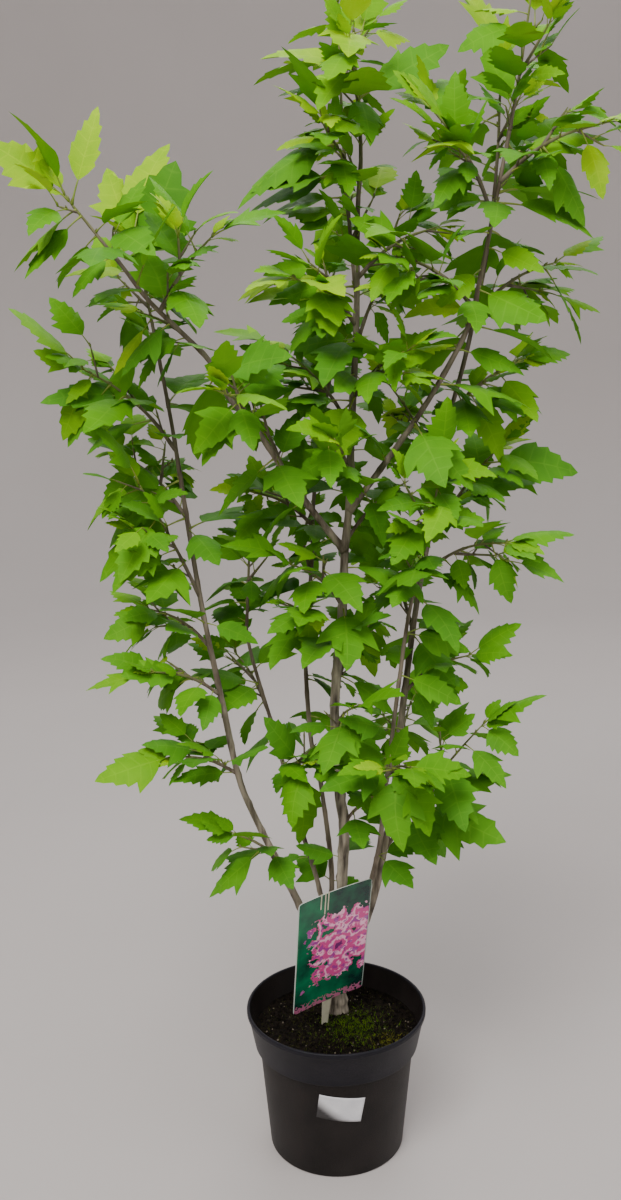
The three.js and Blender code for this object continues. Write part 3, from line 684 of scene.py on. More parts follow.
# A leaf is drawn longer than the room that its probes take, because its tip is thin
DRAWN_SHARE = 1.14
MARKED_LEAVES = [
    ("left_bough_top", 0.90, -170, 40, 68, 0.36, LIME),
    ("left_bough_top", 0.85, 0, 70, 70, 0.22, LIME),
    ("left_outer_stem_top", 1.0, 50, 70, 84, 0.30, LIME),
    ("left_outer_stem_top", 0.75, -15, 70, 86, 0.42, DEEP),
    ("left_leader", 0.55, -170, -15, 98, 0.24, MID),
    ("left_leader", 0.45, -175, -15, 86, 0.24, DEEP),
    ("trunk_top", 0.80, -170, 10, 74, 0.30, LIME),
    ("trunk_top", 0.65, 0, 30, 82, 0.30, MID),
    ("right_bough_top", 0.80, -170, -10, 56, 0.36, CLEAR),
    ("right_bough", 0.95, -5, 20, 82, 0.24, BRIGHT),
    ("right_bough", 0.85, -10, -5, 82, 0.20, CLEAR),
    ("right_bough", 0.85, 175, 10, 62, 0.36, CLEAR),
    ("right_bough", 0.75, -25, -20, 52, 0.34, BRIGHT),
    ("right_bough", 0.70, -150, -30, 50, 0.30, BRIGHT),
    ("right_bough", 0.65, -30, -20, 64, 0.38, CLEAR),
    ("right_bough", 0.60, -160, 10, 58, 0.34, LIME),
    ("right_bough", 0.50, -10, -15, 60, 0.30, MID),
    ("right_bough", 0.50, -175, 0, 78, 0.34, BRIGHT),
    ("right_outer_stem_top", 0.55, 180, 20, 64, 0.26, CLEAR),
    ("left_leader", 0.05, -165, -5, 92, 0.28, LIME),
    ("trunk_shoot_h", 0.05, -120, -45, 68, 0.46, BRIGHT),
    ("right_stem_shoot_f", 0.80, -5, 5, 86, 0.34, DEEP),
    ("right_stem_shoot_e", 0.90, -25, -15, 44, 0.38, MID),
    ("right_stem_shoot_h", 0.35, -20, -55, 68, 0.28, BRIGHT),
    ("right_stem_shoot_a", 0.98, -40, -20, 44, 0.42, MID),
    ("right_stem_shoot_a", 0.70, -155, -15, 66, 0.40, BRIGHT),
    ("left_inner_shoot_a", 0.55, -60, -75, 82, 0.30, CLEAR),
    ("left_stem_shoot_b", 0.05, -165, 5, 62, 0.24, MID),
    ("left_outer_stem", 0.85, -170, -25, 86, 0.32, MID),
    ("left_outer_stem", 0.80, -170, -20, 96, 0.30, CLEAR),
    ("left_outer_stem_top", 0.20, -175, -45, 96, 0.24, CLEAR),
]


marked_lines = {mass["name"]: mass["spine"] for mass in masses}
for name in LIMBS:
    marked_lines[name] = limb_lines[name].stretch(0, bare_lengths[name], LIMB_SAMPLES)


def marked_leaf(name, share, bearing, rise, length, broad, green):
    """A leaf set by its own bearing and rise, with its face turned to the light."""
    line = marked_lines[name]
    turn, slope = math.radians(bearing), math.radians(rise)
    flat = math.cos(slope)
    ahead = np.array([flat * math.cos(turn), flat * math.sin(turn), math.sin(slope)])
    face = unit(LIGHT - ahead * LIGHT.dot(ahead))
    return dict(root=line.at(share * line.total), ahead=ahead, face=face,
                across=np.cross(ahead, face), length=length / DRAWN_SHARE, age=MARKED_AGE,
                broad=broad, green=green)


marked = [marked_leaf(*entry) for entry in MARKED_LEAVES]
marked_probes = np.vstack([leaf_places(leaf) for leaf in marked])
print(len(marked), "large leaves set by hand")

# %% Growing it all
grown_masses = []
source_leaves = 0
for mass in masses:
    grown = grow_mass(mass)
    source_leaves += len(grown["leaves"])
    grown["probes"] = np.vstack([grown["probes"], marked_probes])
    grow_finer(mass, grown)
    grown_masses.append(grown)
leaves = marked + [leaf for grown in grown_masses for leaf in grown["leaves"]]
print(source_leaves, "leaves as in the solids, and", len(leaves) - source_leaves, "more")

probes_of_all = np.vstack([grown["probes"] for grown in grown_masses])
for index, name in enumerate(LIMBS):
    on_wood = grow_on_wood(name, index, probes_of_all)
    probes_of_all = on_wood["probes"]
    leaves += on_wood["leaves"]
print(len(leaves), "leaves in all")

# %% [markdown]
# ## Effects that materials share
#
# Three node groups serve the finishes here: patches of two colours, a fine relief, and the veins
# of a leaf. They put out colours, heights and masks only, and each material keeps its own
# Principled shader. Patterns read Object coordinates, or an attribute where they follow the
# shape, so they stay on their piece from any side.

# %% Node groups


def new_group(name, inputs, outputs):
    """A shader node group with named sockets: (name, kind, default) in and (name, kind) out."""
    group = bpy.data.node_groups.new(name, "ShaderNodeTree")
    for label, kind, value in inputs:
        socket = group.interface.new_socket(label, in_out="INPUT", socket_type=kind)
        if value is not None:
            socket.default_value = value
    for label, kind in outputs:
        group.interface.new_socket(label, in_out="OUTPUT", socket_type=kind)
    return group, group.nodes.new("NodeGroupInput"), group.nodes.new("NodeGroupOutput")


def patches_group():
    """Noise stretched between two limits, which mixes a first colour into a second."""
    group, into, out = new_group(
        "Patches",
        [("Vector", "NodeSocketVector", None), ("Scale", "NodeSocketFloat", 40.0),
         ("Low", "NodeSocketFloat", 0.35), ("High", "NodeSocketFloat", 0.65),
         ("First", "NodeSocketColor", None), ("Second", "NodeSocketColor", None)],
        [("Color", "NodeSocketColor"), ("Mask", "NodeSocketFloat")])
    noise = group.nodes.new("ShaderNodeTexNoise")
    noise.inputs["Detail"].default_value = 4.0
    limits = group.nodes.new("ShaderNodeMapRange")
    mix = group.nodes.new("ShaderNodeMix")
    mix.data_type = "RGBA"
    link = group.links.new
    link(into.outputs["Vector"], noise.inputs["Vector"])
    link(into.outputs["Scale"], noise.inputs["Scale"])
    link(noise.outputs["Fac"], limits.inputs["Value"])
    link(into.outputs["Low"], limits.inputs["From Min"])
    link(into.outputs["High"], limits.inputs["From Max"])
    link(limits.outputs["Result"], mix.inputs["Factor"])
    link(into.outputs["First"], mix.inputs["A"])
    link(into.outputs["Second"], mix.inputs["B"])
    link(mix.outputs["Result"], out.inputs["Color"])
    link(limits.outputs["Result"], out.inputs["Mask"])
    return group


def relief_group():
    """Two sizes of noise added up as a height."""
    group, into, out = new_group(
        "Relief",
        [("Vector", "NodeSocketVector", None), ("Scale", "NodeSocketFloat", 300.0),
         ("Fine", "NodeSocketFloat", 0.4)],
        [("Height", "NodeSocketFloat")])
    coarse = group.nodes.new("ShaderNodeTexNoise")
    fine = group.nodes.new("ShaderNodeTexNoise")
    larger = group.nodes.new("ShaderNodeMath")
    larger.operation = "MULTIPLY"
    larger.inputs[1].default_value = 4.0
    total = group.nodes.new("ShaderNodeMath")
    total.operation = "MULTIPLY_ADD"
    link = group.links.new
    link(into.outputs["Vector"], coarse.inputs["Vector"])
    link(into.outputs["Vector"], fine.inputs["Vector"])
    link(into.outputs["Scale"], coarse.inputs["Scale"])
    link(into.outputs["Scale"], larger.inputs[0])
    link(larger.outputs[0], fine.inputs["Scale"])
    link(fine.outputs["Fac"], total.inputs[0])
    link(into.outputs["Fine"], total.inputs[1])
    link(coarse.outputs["Fac"], total.inputs[2])
    link(total.outputs[0], out.inputs["Height"])
    return group


def maths(tree, operation, *values):
    """A maths node fed by sockets or plain numbers; gives its output socket."""
    node = tree.nodes.new("ShaderNodeMath")
    node.operation = operation
    for socket, value in zip(node.inputs, values):
        if isinstance(value, bpy.types.NodeSocket):
            tree.links.new(value, socket)
        else:
            socket.default_value = value
    return node.outputs[0]


def line_mask(tree, distance, width):
    """One on a line and nought from its width on, with a straight fall between them."""
    share = maths(tree, "DIVIDE", distance, width)
    return maths(tree, "MAXIMUM", maths(tree, "SUBTRACT", 1.0, share), 0.0)


SIDE_VEIN_START, SIDE_VEIN_FALL = 0.9, 0.6


def veins_group():
    """A midrib where the column is nought, and a side vein at each odd row that fades to the rim."""
    group, into, out = new_group(
        "Veins", [("Place", "NodeSocketVector", None), ("Midrib", "NodeSocketFloat", 0.07),
                  ("Side vein", "NodeSocketFloat", 0.09)],
        [("Mask", "NodeSocketFloat")])
    split = group.nodes.new("ShaderNodeSeparateXYZ")
    group.links.new(into.outputs["Place"], split.inputs["Vector"])
    across = maths(group, "ABSOLUTE", split.outputs["X"])
    midrib = line_mask(group, across, into.outputs["Midrib"])
    half_row = maths(group, "FRACT", maths(group, "MULTIPLY", split.outputs["Y"], 0.5))
    away = maths(group, "ABSOLUTE", maths(group, "SUBTRACT", half_row, 0.5))
    side = line_mask(group, away, into.outputs["Side vein"])
    fall = maths(group, "MULTIPLY", across, SIDE_VEIN_FALL)
    fading = maths(group, "MULTIPLY", side, maths(group, "SUBTRACT", SIDE_VEIN_START, fall))
    group.links.new(maths(group, "MAXIMUM", midrib, fading), out.inputs["Mask"])
    return group


PATCHES, RELIEF, VEINS = patches_group(), relief_group(), veins_group()
print("node groups:", PATCHES.name, RELIEF.name, VEINS.name)

# %% A finish from the groups


def colour4(colour):
    """A colour with full cover."""
    return (*colour, 1.0)


def new_material(name, first, second, roughness, scale, relief=300.0, depth=0.0002, stretch=(1, 1, 1),
                 limits=(0.35, 0.65), **sockets):
    """Patches of two colours and a bump from the relief, on one Principled shader."""
    material = bpy.data.materials.new(name)
    material.use_nodes = True
    nodes, link = material.node_tree.nodes, material.node_tree.links.new
    shader = nodes["Principled BSDF"]
    shader.inputs["Roughness"].default_value = roughness
    for label, value in sockets.items():
        shader.inputs[label.replace("_", " ")].default_value = value
    place = nodes.new("ShaderNodeTexCoord")
    mapping = nodes.new("ShaderNodeMapping")
    mapping.inputs["Scale"].default_value = stretch
    link(place.outputs["Object"], mapping.inputs["Vector"])
    patches = nodes.new("ShaderNodeGroup")
    patches.node_tree = PATCHES
    patches.inputs["Scale"].default_value = scale
    patches.inputs["Low"].default_value, patches.inputs["High"].default_value = limits
    patches.inputs["First"].default_value = colour4(first)
    patches.inputs["Second"].default_value = colour4(second)
    link(mapping.outputs["Vector"], patches.inputs["Vector"])
    link(patches.outputs["Color"], shader.inputs["Base Color"])
    heights = nodes.new("ShaderNodeGroup")
    heights.node_tree = RELIEF
    heights.inputs["Scale"].default_value = relief
    link(mapping.outputs["Vector"], heights.inputs["Vector"])
    bump = nodes.new("ShaderNodeBump")
    bump.inputs["Distance"].default_value = depth
    link(heights.outputs["Height"], bump.inputs["Height"])
    link(bump.outputs["Normal"], shader.inputs["Normal"])
    return material


def lay_over(material, colour, factor):
    """Mixes a plain colour over the base colour, by a factor socket of the material."""
    tree = material.node_tree
    shader = tree.nodes["Principled BSDF"]
    mix = tree.nodes.new("ShaderNodeMix")
    mix.data_type = "RGBA"
    mix.inputs["B"].default_value = colour4(colour)
    tree.links.new(factor, mix.inputs["Factor"])
    tree.links.new(shader.inputs["Base Color"].links[0].from_socket, mix.inputs["A"])
    tree.links.new(mix.outputs["Result"], shader.inputs["Base Color"])


def attribute(material, name):
    """The node that reads an attribute of the points."""
    node = material.node_tree.nodes.new("ShaderNodeAttribute")
    node.attribute_name = name
    return node


print("materials are made by new_material")

# %% [markdown]
# ## Tubes
#
# Stems, twigs and stalks are all tubes carried along a line. A curve object with a bevel would
# draw one too, but its rings can't swell at the joints. Here a whole batch of tubes with the same
# number of rings is worked out at once.

# %% Tubes in one batch


def tubes(paths, radii, sides):
    """Rings of points square to each path: centre + radius (cos a first + sin a second).

    Paths are (n, rings, 3) and radii (n, rings) or (n, rings, sides). Both ends are closed.
    """
    count, rings, _ = paths.shape
    along = unit(np.gradient(paths, axis=1))
    mean = unit(along.mean(1))
    helper = np.where(np.abs(mean[:, :1]) < 0.7, [[1.0, 0, 0]], [[0, 1.0, 0]])[:, None]
    first = unit(helper - along * (along * helper).sum(2, keepdims=True))
    second = np.cross(along, first)
    angle = 2 * np.pi * np.arange(sides) / sides
    radii = radii[..., None] if radii.ndim == 2 else radii
    ring = np.cos(angle)[:, None] * first[:, :, None] + np.sin(angle)[:, None] * second[:, :, None]
    points = paths[:, :, None] + radii[..., None] * ring
    here = (np.arange(rings - 1)[:, None] * sides + np.arange(sides)).ravel()
    there = (np.arange(rings - 1)[:, None] * sides + (np.arange(sides) + 1) % sides).ravel()
    wall = np.stack([here, there, there + sides, here + sides], 1)
    foot = np.arange(sides)[::-1][None]
    head = (rings - 1) * sides + np.arange(sides)[None]
    offsets = (np.arange(count) * rings * sides)[:, None, None]
    faces = [(wall[None] + offsets).reshape(-1, 4), (foot[None] + offsets).reshape(-1, sides),
             (head[None] + offsets).reshape(-1, sides)]
    return points.reshape(-1, 3), faces


def join(parts):
    """Several (points, faces) joined into one, with the face numbers moved on."""
    points, faces, offset = [], [], 0
    for some, theirs in parts:
        points.append(some)
        faces.extend(face + offset for face in theirs)
        offset += len(some)
    return np.vstack(points), faces


print("a tube with 12 rings of 6 has", 11 * 6 + 2, "faces")

# %% [markdown]
# ## Bark of the stems and boughs
#
# Old wood on this shrub is pale grey-brown and nearly smooth, with fine long wrinkles and a
# swollen ring wherever a leaf once stood. Younger wood is plain brown, and green at the tips. The
# rings and wrinkles are real shape, worked out as a change of radius along and around the stem.
# The age of the wood is kept as a number on each point, and the material turns it into colour.

# %% Stems with bark
RING_STEP, STEM_SIDES, STEM_CURVE_STEPS = 3.0, 18, 3
# Each ring's swelling turns on from the last by this many radians, which comes to 42 degrees back
NODE_TURN = 137.5
NODE_SPACING, NODE_LENGTH, NODE_SHIFT = 31.0, 3.2, 9
NODE_SWELLING, WRINKLE_DEPTH, WAVE_DEPTH = 0.24, 0.035, 0.04
JOINT_SWELLING, JOINT_LENGTH = 1.6, 9.0
BARK_RUNS_ON = 3.0
OLD_RADIUS, YOUNG_RADIUS, OLDEST_YOUTH = 4.6, 1.6, 0.5
YOUNG_BROWN, BROWN_RISE, BROWN_MOST = (0.105, 0.072, 0.045), 1.5, 0.72
TIP_GREEN, GREEN_FROM, GREEN_RISE = (0.17, 0.21, 0.035), 0.55, 2.0


def bark_relief(distance, angle, radius, phase):
    """Swollen rings at the old leaf places, wrinkles along the stem and slow waves round it."""
    shifted = distance + phase * NODE_SHIFT
    node = np.exp(-((shifted % NODE_SPACING - NODE_SPACING / 2) / NODE_LENGTH) ** 2)
    lean = 0.5 + 0.5 * np.cos(angle - NODE_TURN * np.floor(shifted / NODE_SPACING))
    wrinkle = np.sin(5 * angle + 0.11 * distance + phase) * np.sin(0.21 * distance + 3 * angle)
    wave = np.sin(2 * angle + 0.034 * distance + 2 * phase)
    return radius * (NODE_SWELLING * node * lean + WRINKLE_DEPTH * wrinkle + WAVE_DEPTH * wave)


def stem_mesh(name, phase):
    """One tapering limb: its bare length, with the relief of the bark.

    A stem that springs from another limb is a little thicker at its joint. The thinner the wood,
    the younger it is.
    """
    whole = Line(smooth_curve(limb_lines[name].points, STEM_CURVE_STEPS))
    reach = bare_lengths[name] + BARK_RUNS_ON
    distance = np.linspace(0, reach, int(reach / RING_STEP) + 1)
    angle = 2 * np.pi * np.arange(STEM_SIDES) / STEM_SIDES
    radius = limb_radius(name, distance)[:, None]
    joint = 0 if name == "trunk" else JOINT_SWELLING * np.exp(-((distance / JOINT_LENGTH) ** 2))[:, None]
    relief = bark_relief(distance[:, None], angle[None], radius, phase)
    points, faces = tubes(whole.at(distance)[None], (radius + joint + relief)[None], STEM_SIDES)
    mesh = new_mesh(name, points, faces)
    thickness = (radius - YOUNG_RADIUS) / (OLD_RADIUS - YOUNG_RADIUS)
    young = OLDEST_YOUTH * np.clip(1 - thickness, 0, 1)
    point_attribute(mesh, "young", np.repeat(young[:, 0], STEM_SIDES))
    return mesh


def wood_material():
    """Grey-brown with pale long streaks on old wood, plain brown on younger, green at the tips.

    The attribute young runs from 0 on the oldest wood over 0.5 to 1 at a twig's tip.
    """
    material = new_material("wood", (0.055, 0.042, 0.030), (0.45, 0.39, 0.30), 0.75, 170.0,
                            relief=420.0, depth=0.0006, stretch=(1, 1, 0.16), limits=(0.34, 0.62))
    tree = material.node_tree
    young = attribute(material, "young").outputs["Fac"]
    brown = maths(tree, "MINIMUM", maths(tree, "MULTIPLY", young, BROWN_RISE), BROWN_MOST)
    lay_over(material, YOUNG_BROWN, brown)
    past = maths(tree, "SUBTRACT", young, GREEN_FROM)
    green = maths(tree, "MAXIMUM", maths(tree, "MULTIPLY", past, GREEN_RISE), 0.0)
    lay_over(material, TIP_GREEN, green)
    return material


wood = wood_material()
for phase, name in enumerate(LIMBS):
    new_piece(f"bark_{name}", stem_mesh(name, phase), [wood], [name])
print("stems with bark:", len(LIMBS))

# %% [markdown]
# ## Twigs
#
# Brown twigs that turn green at their tips carry the leaves. They bend a little more smoothly than
# the solids' twigs, and swell slightly in even steps, as at leaf joints. Long twigs with several
# stretches take more rings than the straight short ones, so they are two batches in one piece.

# %% Twigs
LONG_TWIG, SHORT_TWIG = (14, 7), (6, 6)
TWIG_CURVE_STEPS = 5
TWIG_END_RADIUS, TWIG_END_SHARE = 0.75 * TWIG_TIP_RADIUS, 0.55
TWIG_SWELLING = 0.13
TWIG_YOUTH = (0.42, 1)


def twig_paths(lines, rings):
    """Each line drawn smooth and cut into the same number of steps."""
    curves = [Line(smooth_curve(line.points, TWIG_CURVE_STEPS)) for line in lines]
    return np.stack([curve.at(np.linspace(0, line.total, rings)) for curve, line in zip(curves, lines)])


def twig_batch(twigs, rings, sides):
    """Tubes that taper from the root's radius to the tip's, with a swelling at every third ring."""
    paths = twig_paths([line for line, _ in twigs], rings)
    share = np.linspace(0, 1, rings)
    roots = np.array([root for _, root in twigs])[:, None]
    radii = roots + (TWIG_END_RADIUS - roots) * share
    radii = radii * (1 + TWIG_SWELLING * (np.arange(rings) % 3 == 1))
    radii[:, -1] *= TWIG_END_SHARE
    return tubes(paths, radii, sides)


all_twigs = [twig for grown in grown_masses for twig in grown["twigs"]]
mass_names = [mass["name"] for mass in masses]
long_twigs = [twig for twig in all_twigs if len(twig[0].points) > 2]
short_twigs = [twig for twig in all_twigs if len(twig[0].points) == 2]
kinds = ((long_twigs, *LONG_TWIG), (short_twigs, *SHORT_TWIG))
twig_mesh = new_mesh("twigs", *join([twig_batch(*kind) for kind in kinds]))
rising = [np.tile(np.repeat(np.linspace(*TWIG_YOUTH, rings), sides), len(some))
          for some, rings, sides in kinds]
point_attribute(twig_mesh, "young", np.concatenate(rising))
new_piece("twigs", twig_mesh, [wood], mass_names)
print(len(all_twigs), "twigs")

# %% [markdown]
# ## Leaves
#
# A leaf of this hibiscus has a slim stalk and a blade with three lobes and coarse, forward
# teeth. The blade arches down towards its tip, folds up along its midrib and puffs up between
# the veins. It could be a flat picture on a card, but then it would have no edge, no underside
# and no shade between its veins. So each blade is a small closed mesh of 72 faces: five columns
# on its upper side, and a ribbed underside that shares the toothed edge.

# %% The blade's outline
#
# Where each side vein leaves the midrib, and where it ends on the rim, as a share of the blade's
# length ahead and of its half width to the side: for an undivided and for a three-lobed blade.
VEIN_FEET = np.array([0, 0.06, 0.12, 0.18, 0.24, 0.32, 0.42, 0.52, 0.60, 0.70, 0.78, 0.88, 1.0])
PLAIN_AHEAD = np.array([0, 0.05, 0.12, 0.25, 0.29, 0.44, 0.46, 0.61, 0.625, 0.765, 0.775, 0.905, 1.0])
PLAIN_ASIDE = np.array([0, 0.28, 0.60, 0.97, 0.88, 1.07, 0.85, 0.91, 0.65, 0.65, 0.40, 0.29, 0])
LOBED_AHEAD = np.array([0, 0.05, 0.13, 0.26, 0.36, 0.575, 0.50, 0.61, 0.65, 0.775, 0.80, 0.90, 1.0])
LOBED_ASIDE = np.array([0, 0.20, 0.48, 0.80, 0.98, 1.24, 0.62, 0.60, 0.52, 0.52, 0.34, 0.20, 0])
ROWS = len(VEIN_FEET)
COLUMNS = np.array([-1, -0.5, 0, 0.5, 1])
INNER = ROWS - 2
CENTRE = len(COLUMNS) // 2
BLADE_POINTS = INNER * len(COLUMNS) + INNER + 2


def blade_faces():
    """Faces of one blade: fans at its foot and tip, and quads between the rows, above and below."""
    grid = np.arange(INNER * len(COLUMNS)).reshape(INNER, len(COLUMNS))
    below = INNER * len(COLUMNS) + np.arange(INNER)
    foot, tip = BLADE_POINTS - 2, BLADE_POINTS - 1
    low, high = grid[:-1], grid[1:]
    top = np.stack([low[:, :-1], high[:, :-1], high[:, 1:], low[:, 1:]], -1).reshape(-1, 4)
    top_foot = np.stack([np.full(4, foot), grid[0, :-1], grid[0, 1:]], 1)
    top_tip = np.stack([grid[-1, :-1], np.full(4, tip), grid[-1, 1:]], 1)
    rim = np.stack([grid[:, 0], below, grid[:, -1]], 1)
    under = np.stack([rim[:-1, 1:], rim[1:, 1:], rim[1:, :-1], rim[:-1, :-1]], -1).reshape(-1, 4)
    under_foot = np.stack([np.full(2, foot), rim[0, 1:], rim[0, :-1]], 1)
    under_tip = np.stack([rim[-1, 1:], np.full(2, tip), rim[-1, :-1]], 1)
    quads, fans = [top, under], [top_foot, top_tip, under_foot, under_tip]
    uses = np.concatenate([np.zeros(len(top)), np.ones(len(under)), np.zeros(8), np.ones(4)])
    return np.concatenate(quads), np.concatenate(fans), uses.astype(int)


QUADS, FANS, USES = blade_faces()
print("a blade has", BLADE_POINTS, "points and", len(QUADS) + len(FANS), "faces")

# %% Blades as whole arrays
SHAPE_SEED = 4711
STALK_SHARE, STALK_SPREAD = 0.20, (0.75, 1.3)
LEVEL_SHARE, MARKED_LEVEL_SHARE = 1.0, 0.15
LOBING_SPREAD, MARKED_LOBING = (0.0, 1.2), 0.35
LOBED_FROM, LOBED_OVER = 26, 40
HALF_WIDTH, LOBE_WIDTH = (0.27, 0.36), 0.05
TOOTH_SPREAD = (0.91, 1.09)
# Limits of each blade's bend, as the formula of the blades names them
BENDS = {"arch": (0.08, 0.40), "fold": (0.0, 0.36), "curl": (0.05, 0.45),
         "twist": (-0.4, 0.4), "swing": (-0.12, 0.12), "phase": (0, 2 * np.pi)}


def leaf_table(some):
    """The leaves' facts as arrays, with the shape of each drawn from seeded numbers."""
    rng = np.random.default_rng(SHAPE_SEED)
    count = len(some)
    table = {key: np.array([leaf[key] for leaf in some]) for key in ("root", "ahead", "face", "age")}
    table["length"] = DRAWN_SHARE * np.array([leaf["length"] for leaf in some])
    table["green"] = np.array([leaf.get("green", -1) for leaf in some])
    broad = np.array([leaf.get("broad", 0.0) for leaf in some])
    by_hand = broad > 0
    level = unit(UP - table["ahead"] * table["ahead"][:, 2:])
    share = rng.uniform(0, 1, (count, 1)) * np.where(by_hand, MARKED_LEVEL_SHARE, LEVEL_SHARE)[:, None]
    table["face"] = unit(table["face"] * (1 - share) + level * share)
    table["side"] = np.cross(table["face"], table["ahead"])
    table["stalk"] = table["length"] * rng.uniform(*STALK_SPREAD, count) * STALK_SHARE
    table["blade"] = table["length"] - table["stalk"]
    grown_up = np.clip((table["length"] - LOBED_FROM) / LOBED_OVER, 0, 1)
    grown_up = grown_up * np.where(by_hand, MARKED_LOBING, 1.0)
    table["lobing"] = np.clip(grown_up * rng.uniform(*LOBING_SPREAD, count), 0, 1)
    usual = rng.uniform(*HALF_WIDTH, count) + LOBE_WIDTH * table["lobing"]
    table["width"] = table["blade"] * np.where(by_hand, broad, usual)
    for key, limits in BENDS.items():
        table[key] = rng.uniform(*limits, count)
    table["jitter"] = rng.uniform(*TOOTH_SPREAD, (count, ROWS, 2))
    table["chance"] = rng.uniform(0, 1, count)
    return table


PUFF_HEIGHT, PUFF_DIP = 0.035, -0.4
RIPPLE_HEIGHT, RIPPLE_WAVES, RIPPLE_SHIFT = 0.06, 7, 1.5
FOOT_THICK, TIP_THINNER = 0.85, 0.6
THICK_LENGTH, THICK_LIMITS = 45, (0.35, 1.1)


def blades(table):
    """Local x runs along the midrib, y to the side and z off the face.

    A row runs from the midrib to the rim, ahead and aside as the outline says;
    z = fold |y| - curl y^2 - arch x^2, with a ripple at the rim and the veins sunk between puffs.
    """
    lobing, width, blade = (table[key][:, None] for key in ("lobing", "width", "blade"))
    ahead = (PLAIN_AHEAD * (1 - lobing) + LOBED_AHEAD * lobing)[..., None]
    aside = (PLAIN_ASIDE * (1 - lobing) + LOBED_ASIDE * lobing)[..., None]
    sides = np.where(COLUMNS < 0, 0, 1)
    out = np.abs(COLUMNS)
    y = width[..., None] * aside * COLUMNS * np.where(COLUMNS == 0, 1, table["jitter"][:, :, sides])
    share = VEIN_FEET[:, None] * (1 - out) + ahead * out
    blade3, width3 = blade[..., None], width[..., None]
    x = blade3 * share
    bend = {key: table[key][:, None, None] for key in BENDS}
    toothed = (np.arange(ROWS) % 2 == 1)[:, None]
    puff = PUFF_HEIGHT * width3 * (out == 0.5) * np.where(toothed, PUFF_DIP, 1)
    wave = np.sin(RIPPLE_WAVES * share + bend["phase"] + RIPPLE_SHIFT * np.sign(y))
    ripple = RIPPLE_HEIGHT * width3 * wave * (y / width3) ** 2
    z = (bend["fold"] * np.abs(y) - bend["curl"] * y * y / width3 - bend["arch"] * blade3 * share**2
         + puff * aside + ripple)
    y = y + bend["swing"] * blade3 * share**2
    turned = bend["twist"] * share
    y, z = y * np.cos(turned) - z * np.sin(turned), y * np.sin(turned) + z * np.cos(turned)
    thick = (FOOT_THICK - TIP_THINNER * VEIN_FEET) * np.clip(blade / THICK_LENGTH, *THICK_LIMITS)
    rib = np.stack([x[:, :, CENTRE], y[:, :, CENTRE], z[:, :, CENTRE] - thick], -1)
    grid = np.stack([x, y, z], -1)
    count = len(blade)
    local = np.concatenate([grid[:, 1:-1].reshape(count, -1, 3), rib[:, 1:-1],
                            grid[:, :1, CENTRE], grid[:, -1:, CENTRE]], 1)
    local[..., 0] += table["stalk"][:, None]
    frames = np.stack([table["ahead"], table["side"], table["face"]], 1)
    return table["root"][:, None] + local @ frames


def vein_places():
    """For each point of a blade: its column across, and its row along, which the veins follow."""
    rows = np.arange(1, ROWS - 1)
    across = np.concatenate([np.tile(COLUMNS, INNER), np.zeros(INNER + 2)])
    along = np.concatenate([np.repeat(rows, len(COLUMNS)), rows, [0, ROWS - 1]])
    return np.stack([across, along, 0 * across], 1)


def sharpen_rims(mesh):
    """Marks the toothed rims sharp, so that the shade of one side doesn't run on into the other."""
    rim_columns = np.arange(INNER) * len(COLUMNS)
    is_rim = np.zeros(BLADE_POINTS, bool)
    is_rim[np.concatenate([rim_columns, rim_columns + len(COLUMNS) - 1])] = True
    is_rim[-2:] = True
    ends = np.empty(2 * len(mesh.edges), np.int32)
    mesh.edges.foreach_get("vertices", ends)
    sharp = is_rim[ends % BLADE_POINTS].reshape(-1, 2).all(1)
    mesh.attributes.new("sharp_edge", "BOOLEAN", "EDGE").data.foreach_set("value", sharp)


def blade_mesh(name, points):
    """All blades of one kind in one mesh, with the undersides as its second material."""
    offsets = (np.arange(len(points)) * BLADE_POINTS)[:, None, None]
    faces = [(QUADS[None] + offsets).reshape(-1, 4), (FANS[None] + offsets).reshape(-1, 3)]
    quad_uses, fan_uses = USES[:len(QUADS)], USES[len(QUADS):]
    uses = np.concatenate([np.tile(quad_uses, len(points)), np.tile(fan_uses, len(points))])
    mesh = new_mesh(name, points.reshape(-1, 3), faces, uses=uses)
    point_attribute(mesh, "leaf_place", np.tile(vein_places(), (len(points), 1)))
    sharpen_rims(mesh)
    return mesh


table = leaf_table(leaves)
blade_points = blades(table)
print("blades from", round(table["blade"].min()), "to", round(table["blade"].max()), "mm long")

# %% [markdown]
# ## Greens
#
# Young leaves near the tips are a sharp yellow-green, grown ones a clear mid green, and old ones
# deep green. Light is painted into the greens too: the lime green is partly a painted glow of
# daylight through young blades, and the lower leaves lean to the deep green as painted shade. The
# underside is painted paler, as daylight comes through the thin blade. Each leaf takes one of five
# plain greens by its age, its height in the crown, which stands for this painted light and shade,
# and chance, and the leaves of one green are one piece.

# %% Leaves in five greens
# The lighter greens are partly painted light: a painted glow of daylight through young blades
GREENS = {
    "lime": ((0.34, 0.58, 0.0005), (0.25, 0.50, 0.0005)),
    "bright": ((0.18, 0.44, 0.001), (0.14, 0.375, 0.002)),
    "clear": ((0.12, 0.36, 0.005), (0.092, 0.30, 0.005)),
    "mid": ((0.108, 0.335, 0.010), (0.084, 0.275, 0.010)),
    "deep": ((0.090, 0.300, 0.012), (0.068, 0.235, 0.012)),
}
LEAF_ROUGHNESS, UNDERSIDE_ROUGHNESS = 0.52, 0.7
LEAF_SPECULAR, VEIN_STRENGTH = 0.07, 0.38
VEIN_GAIN, VEIN_LIFT = np.array([1.35, 1.15, 1.0]), np.array([0.05, 0.06, 0.012])
# Undersides are painted paler: painted light, for daylight shining through the thin blade
UNDER_GAIN, UNDER_LIFT = np.array([1.4, 1.3, 1.0]), np.array([0.02, 0.02, 0.004])
# Height in the crown is painted light and shade: higher leaves take lighter greens, lower ones deeper greens
CROWN_HEIGHT = 950
AGE_WEIGHT, HEIGHT_WEIGHT, CHANCE_WEIGHT = 0.42, 0.50, 0.5
GREEN_SHARES = (0.13, 0.38, 0.66, 0.87)


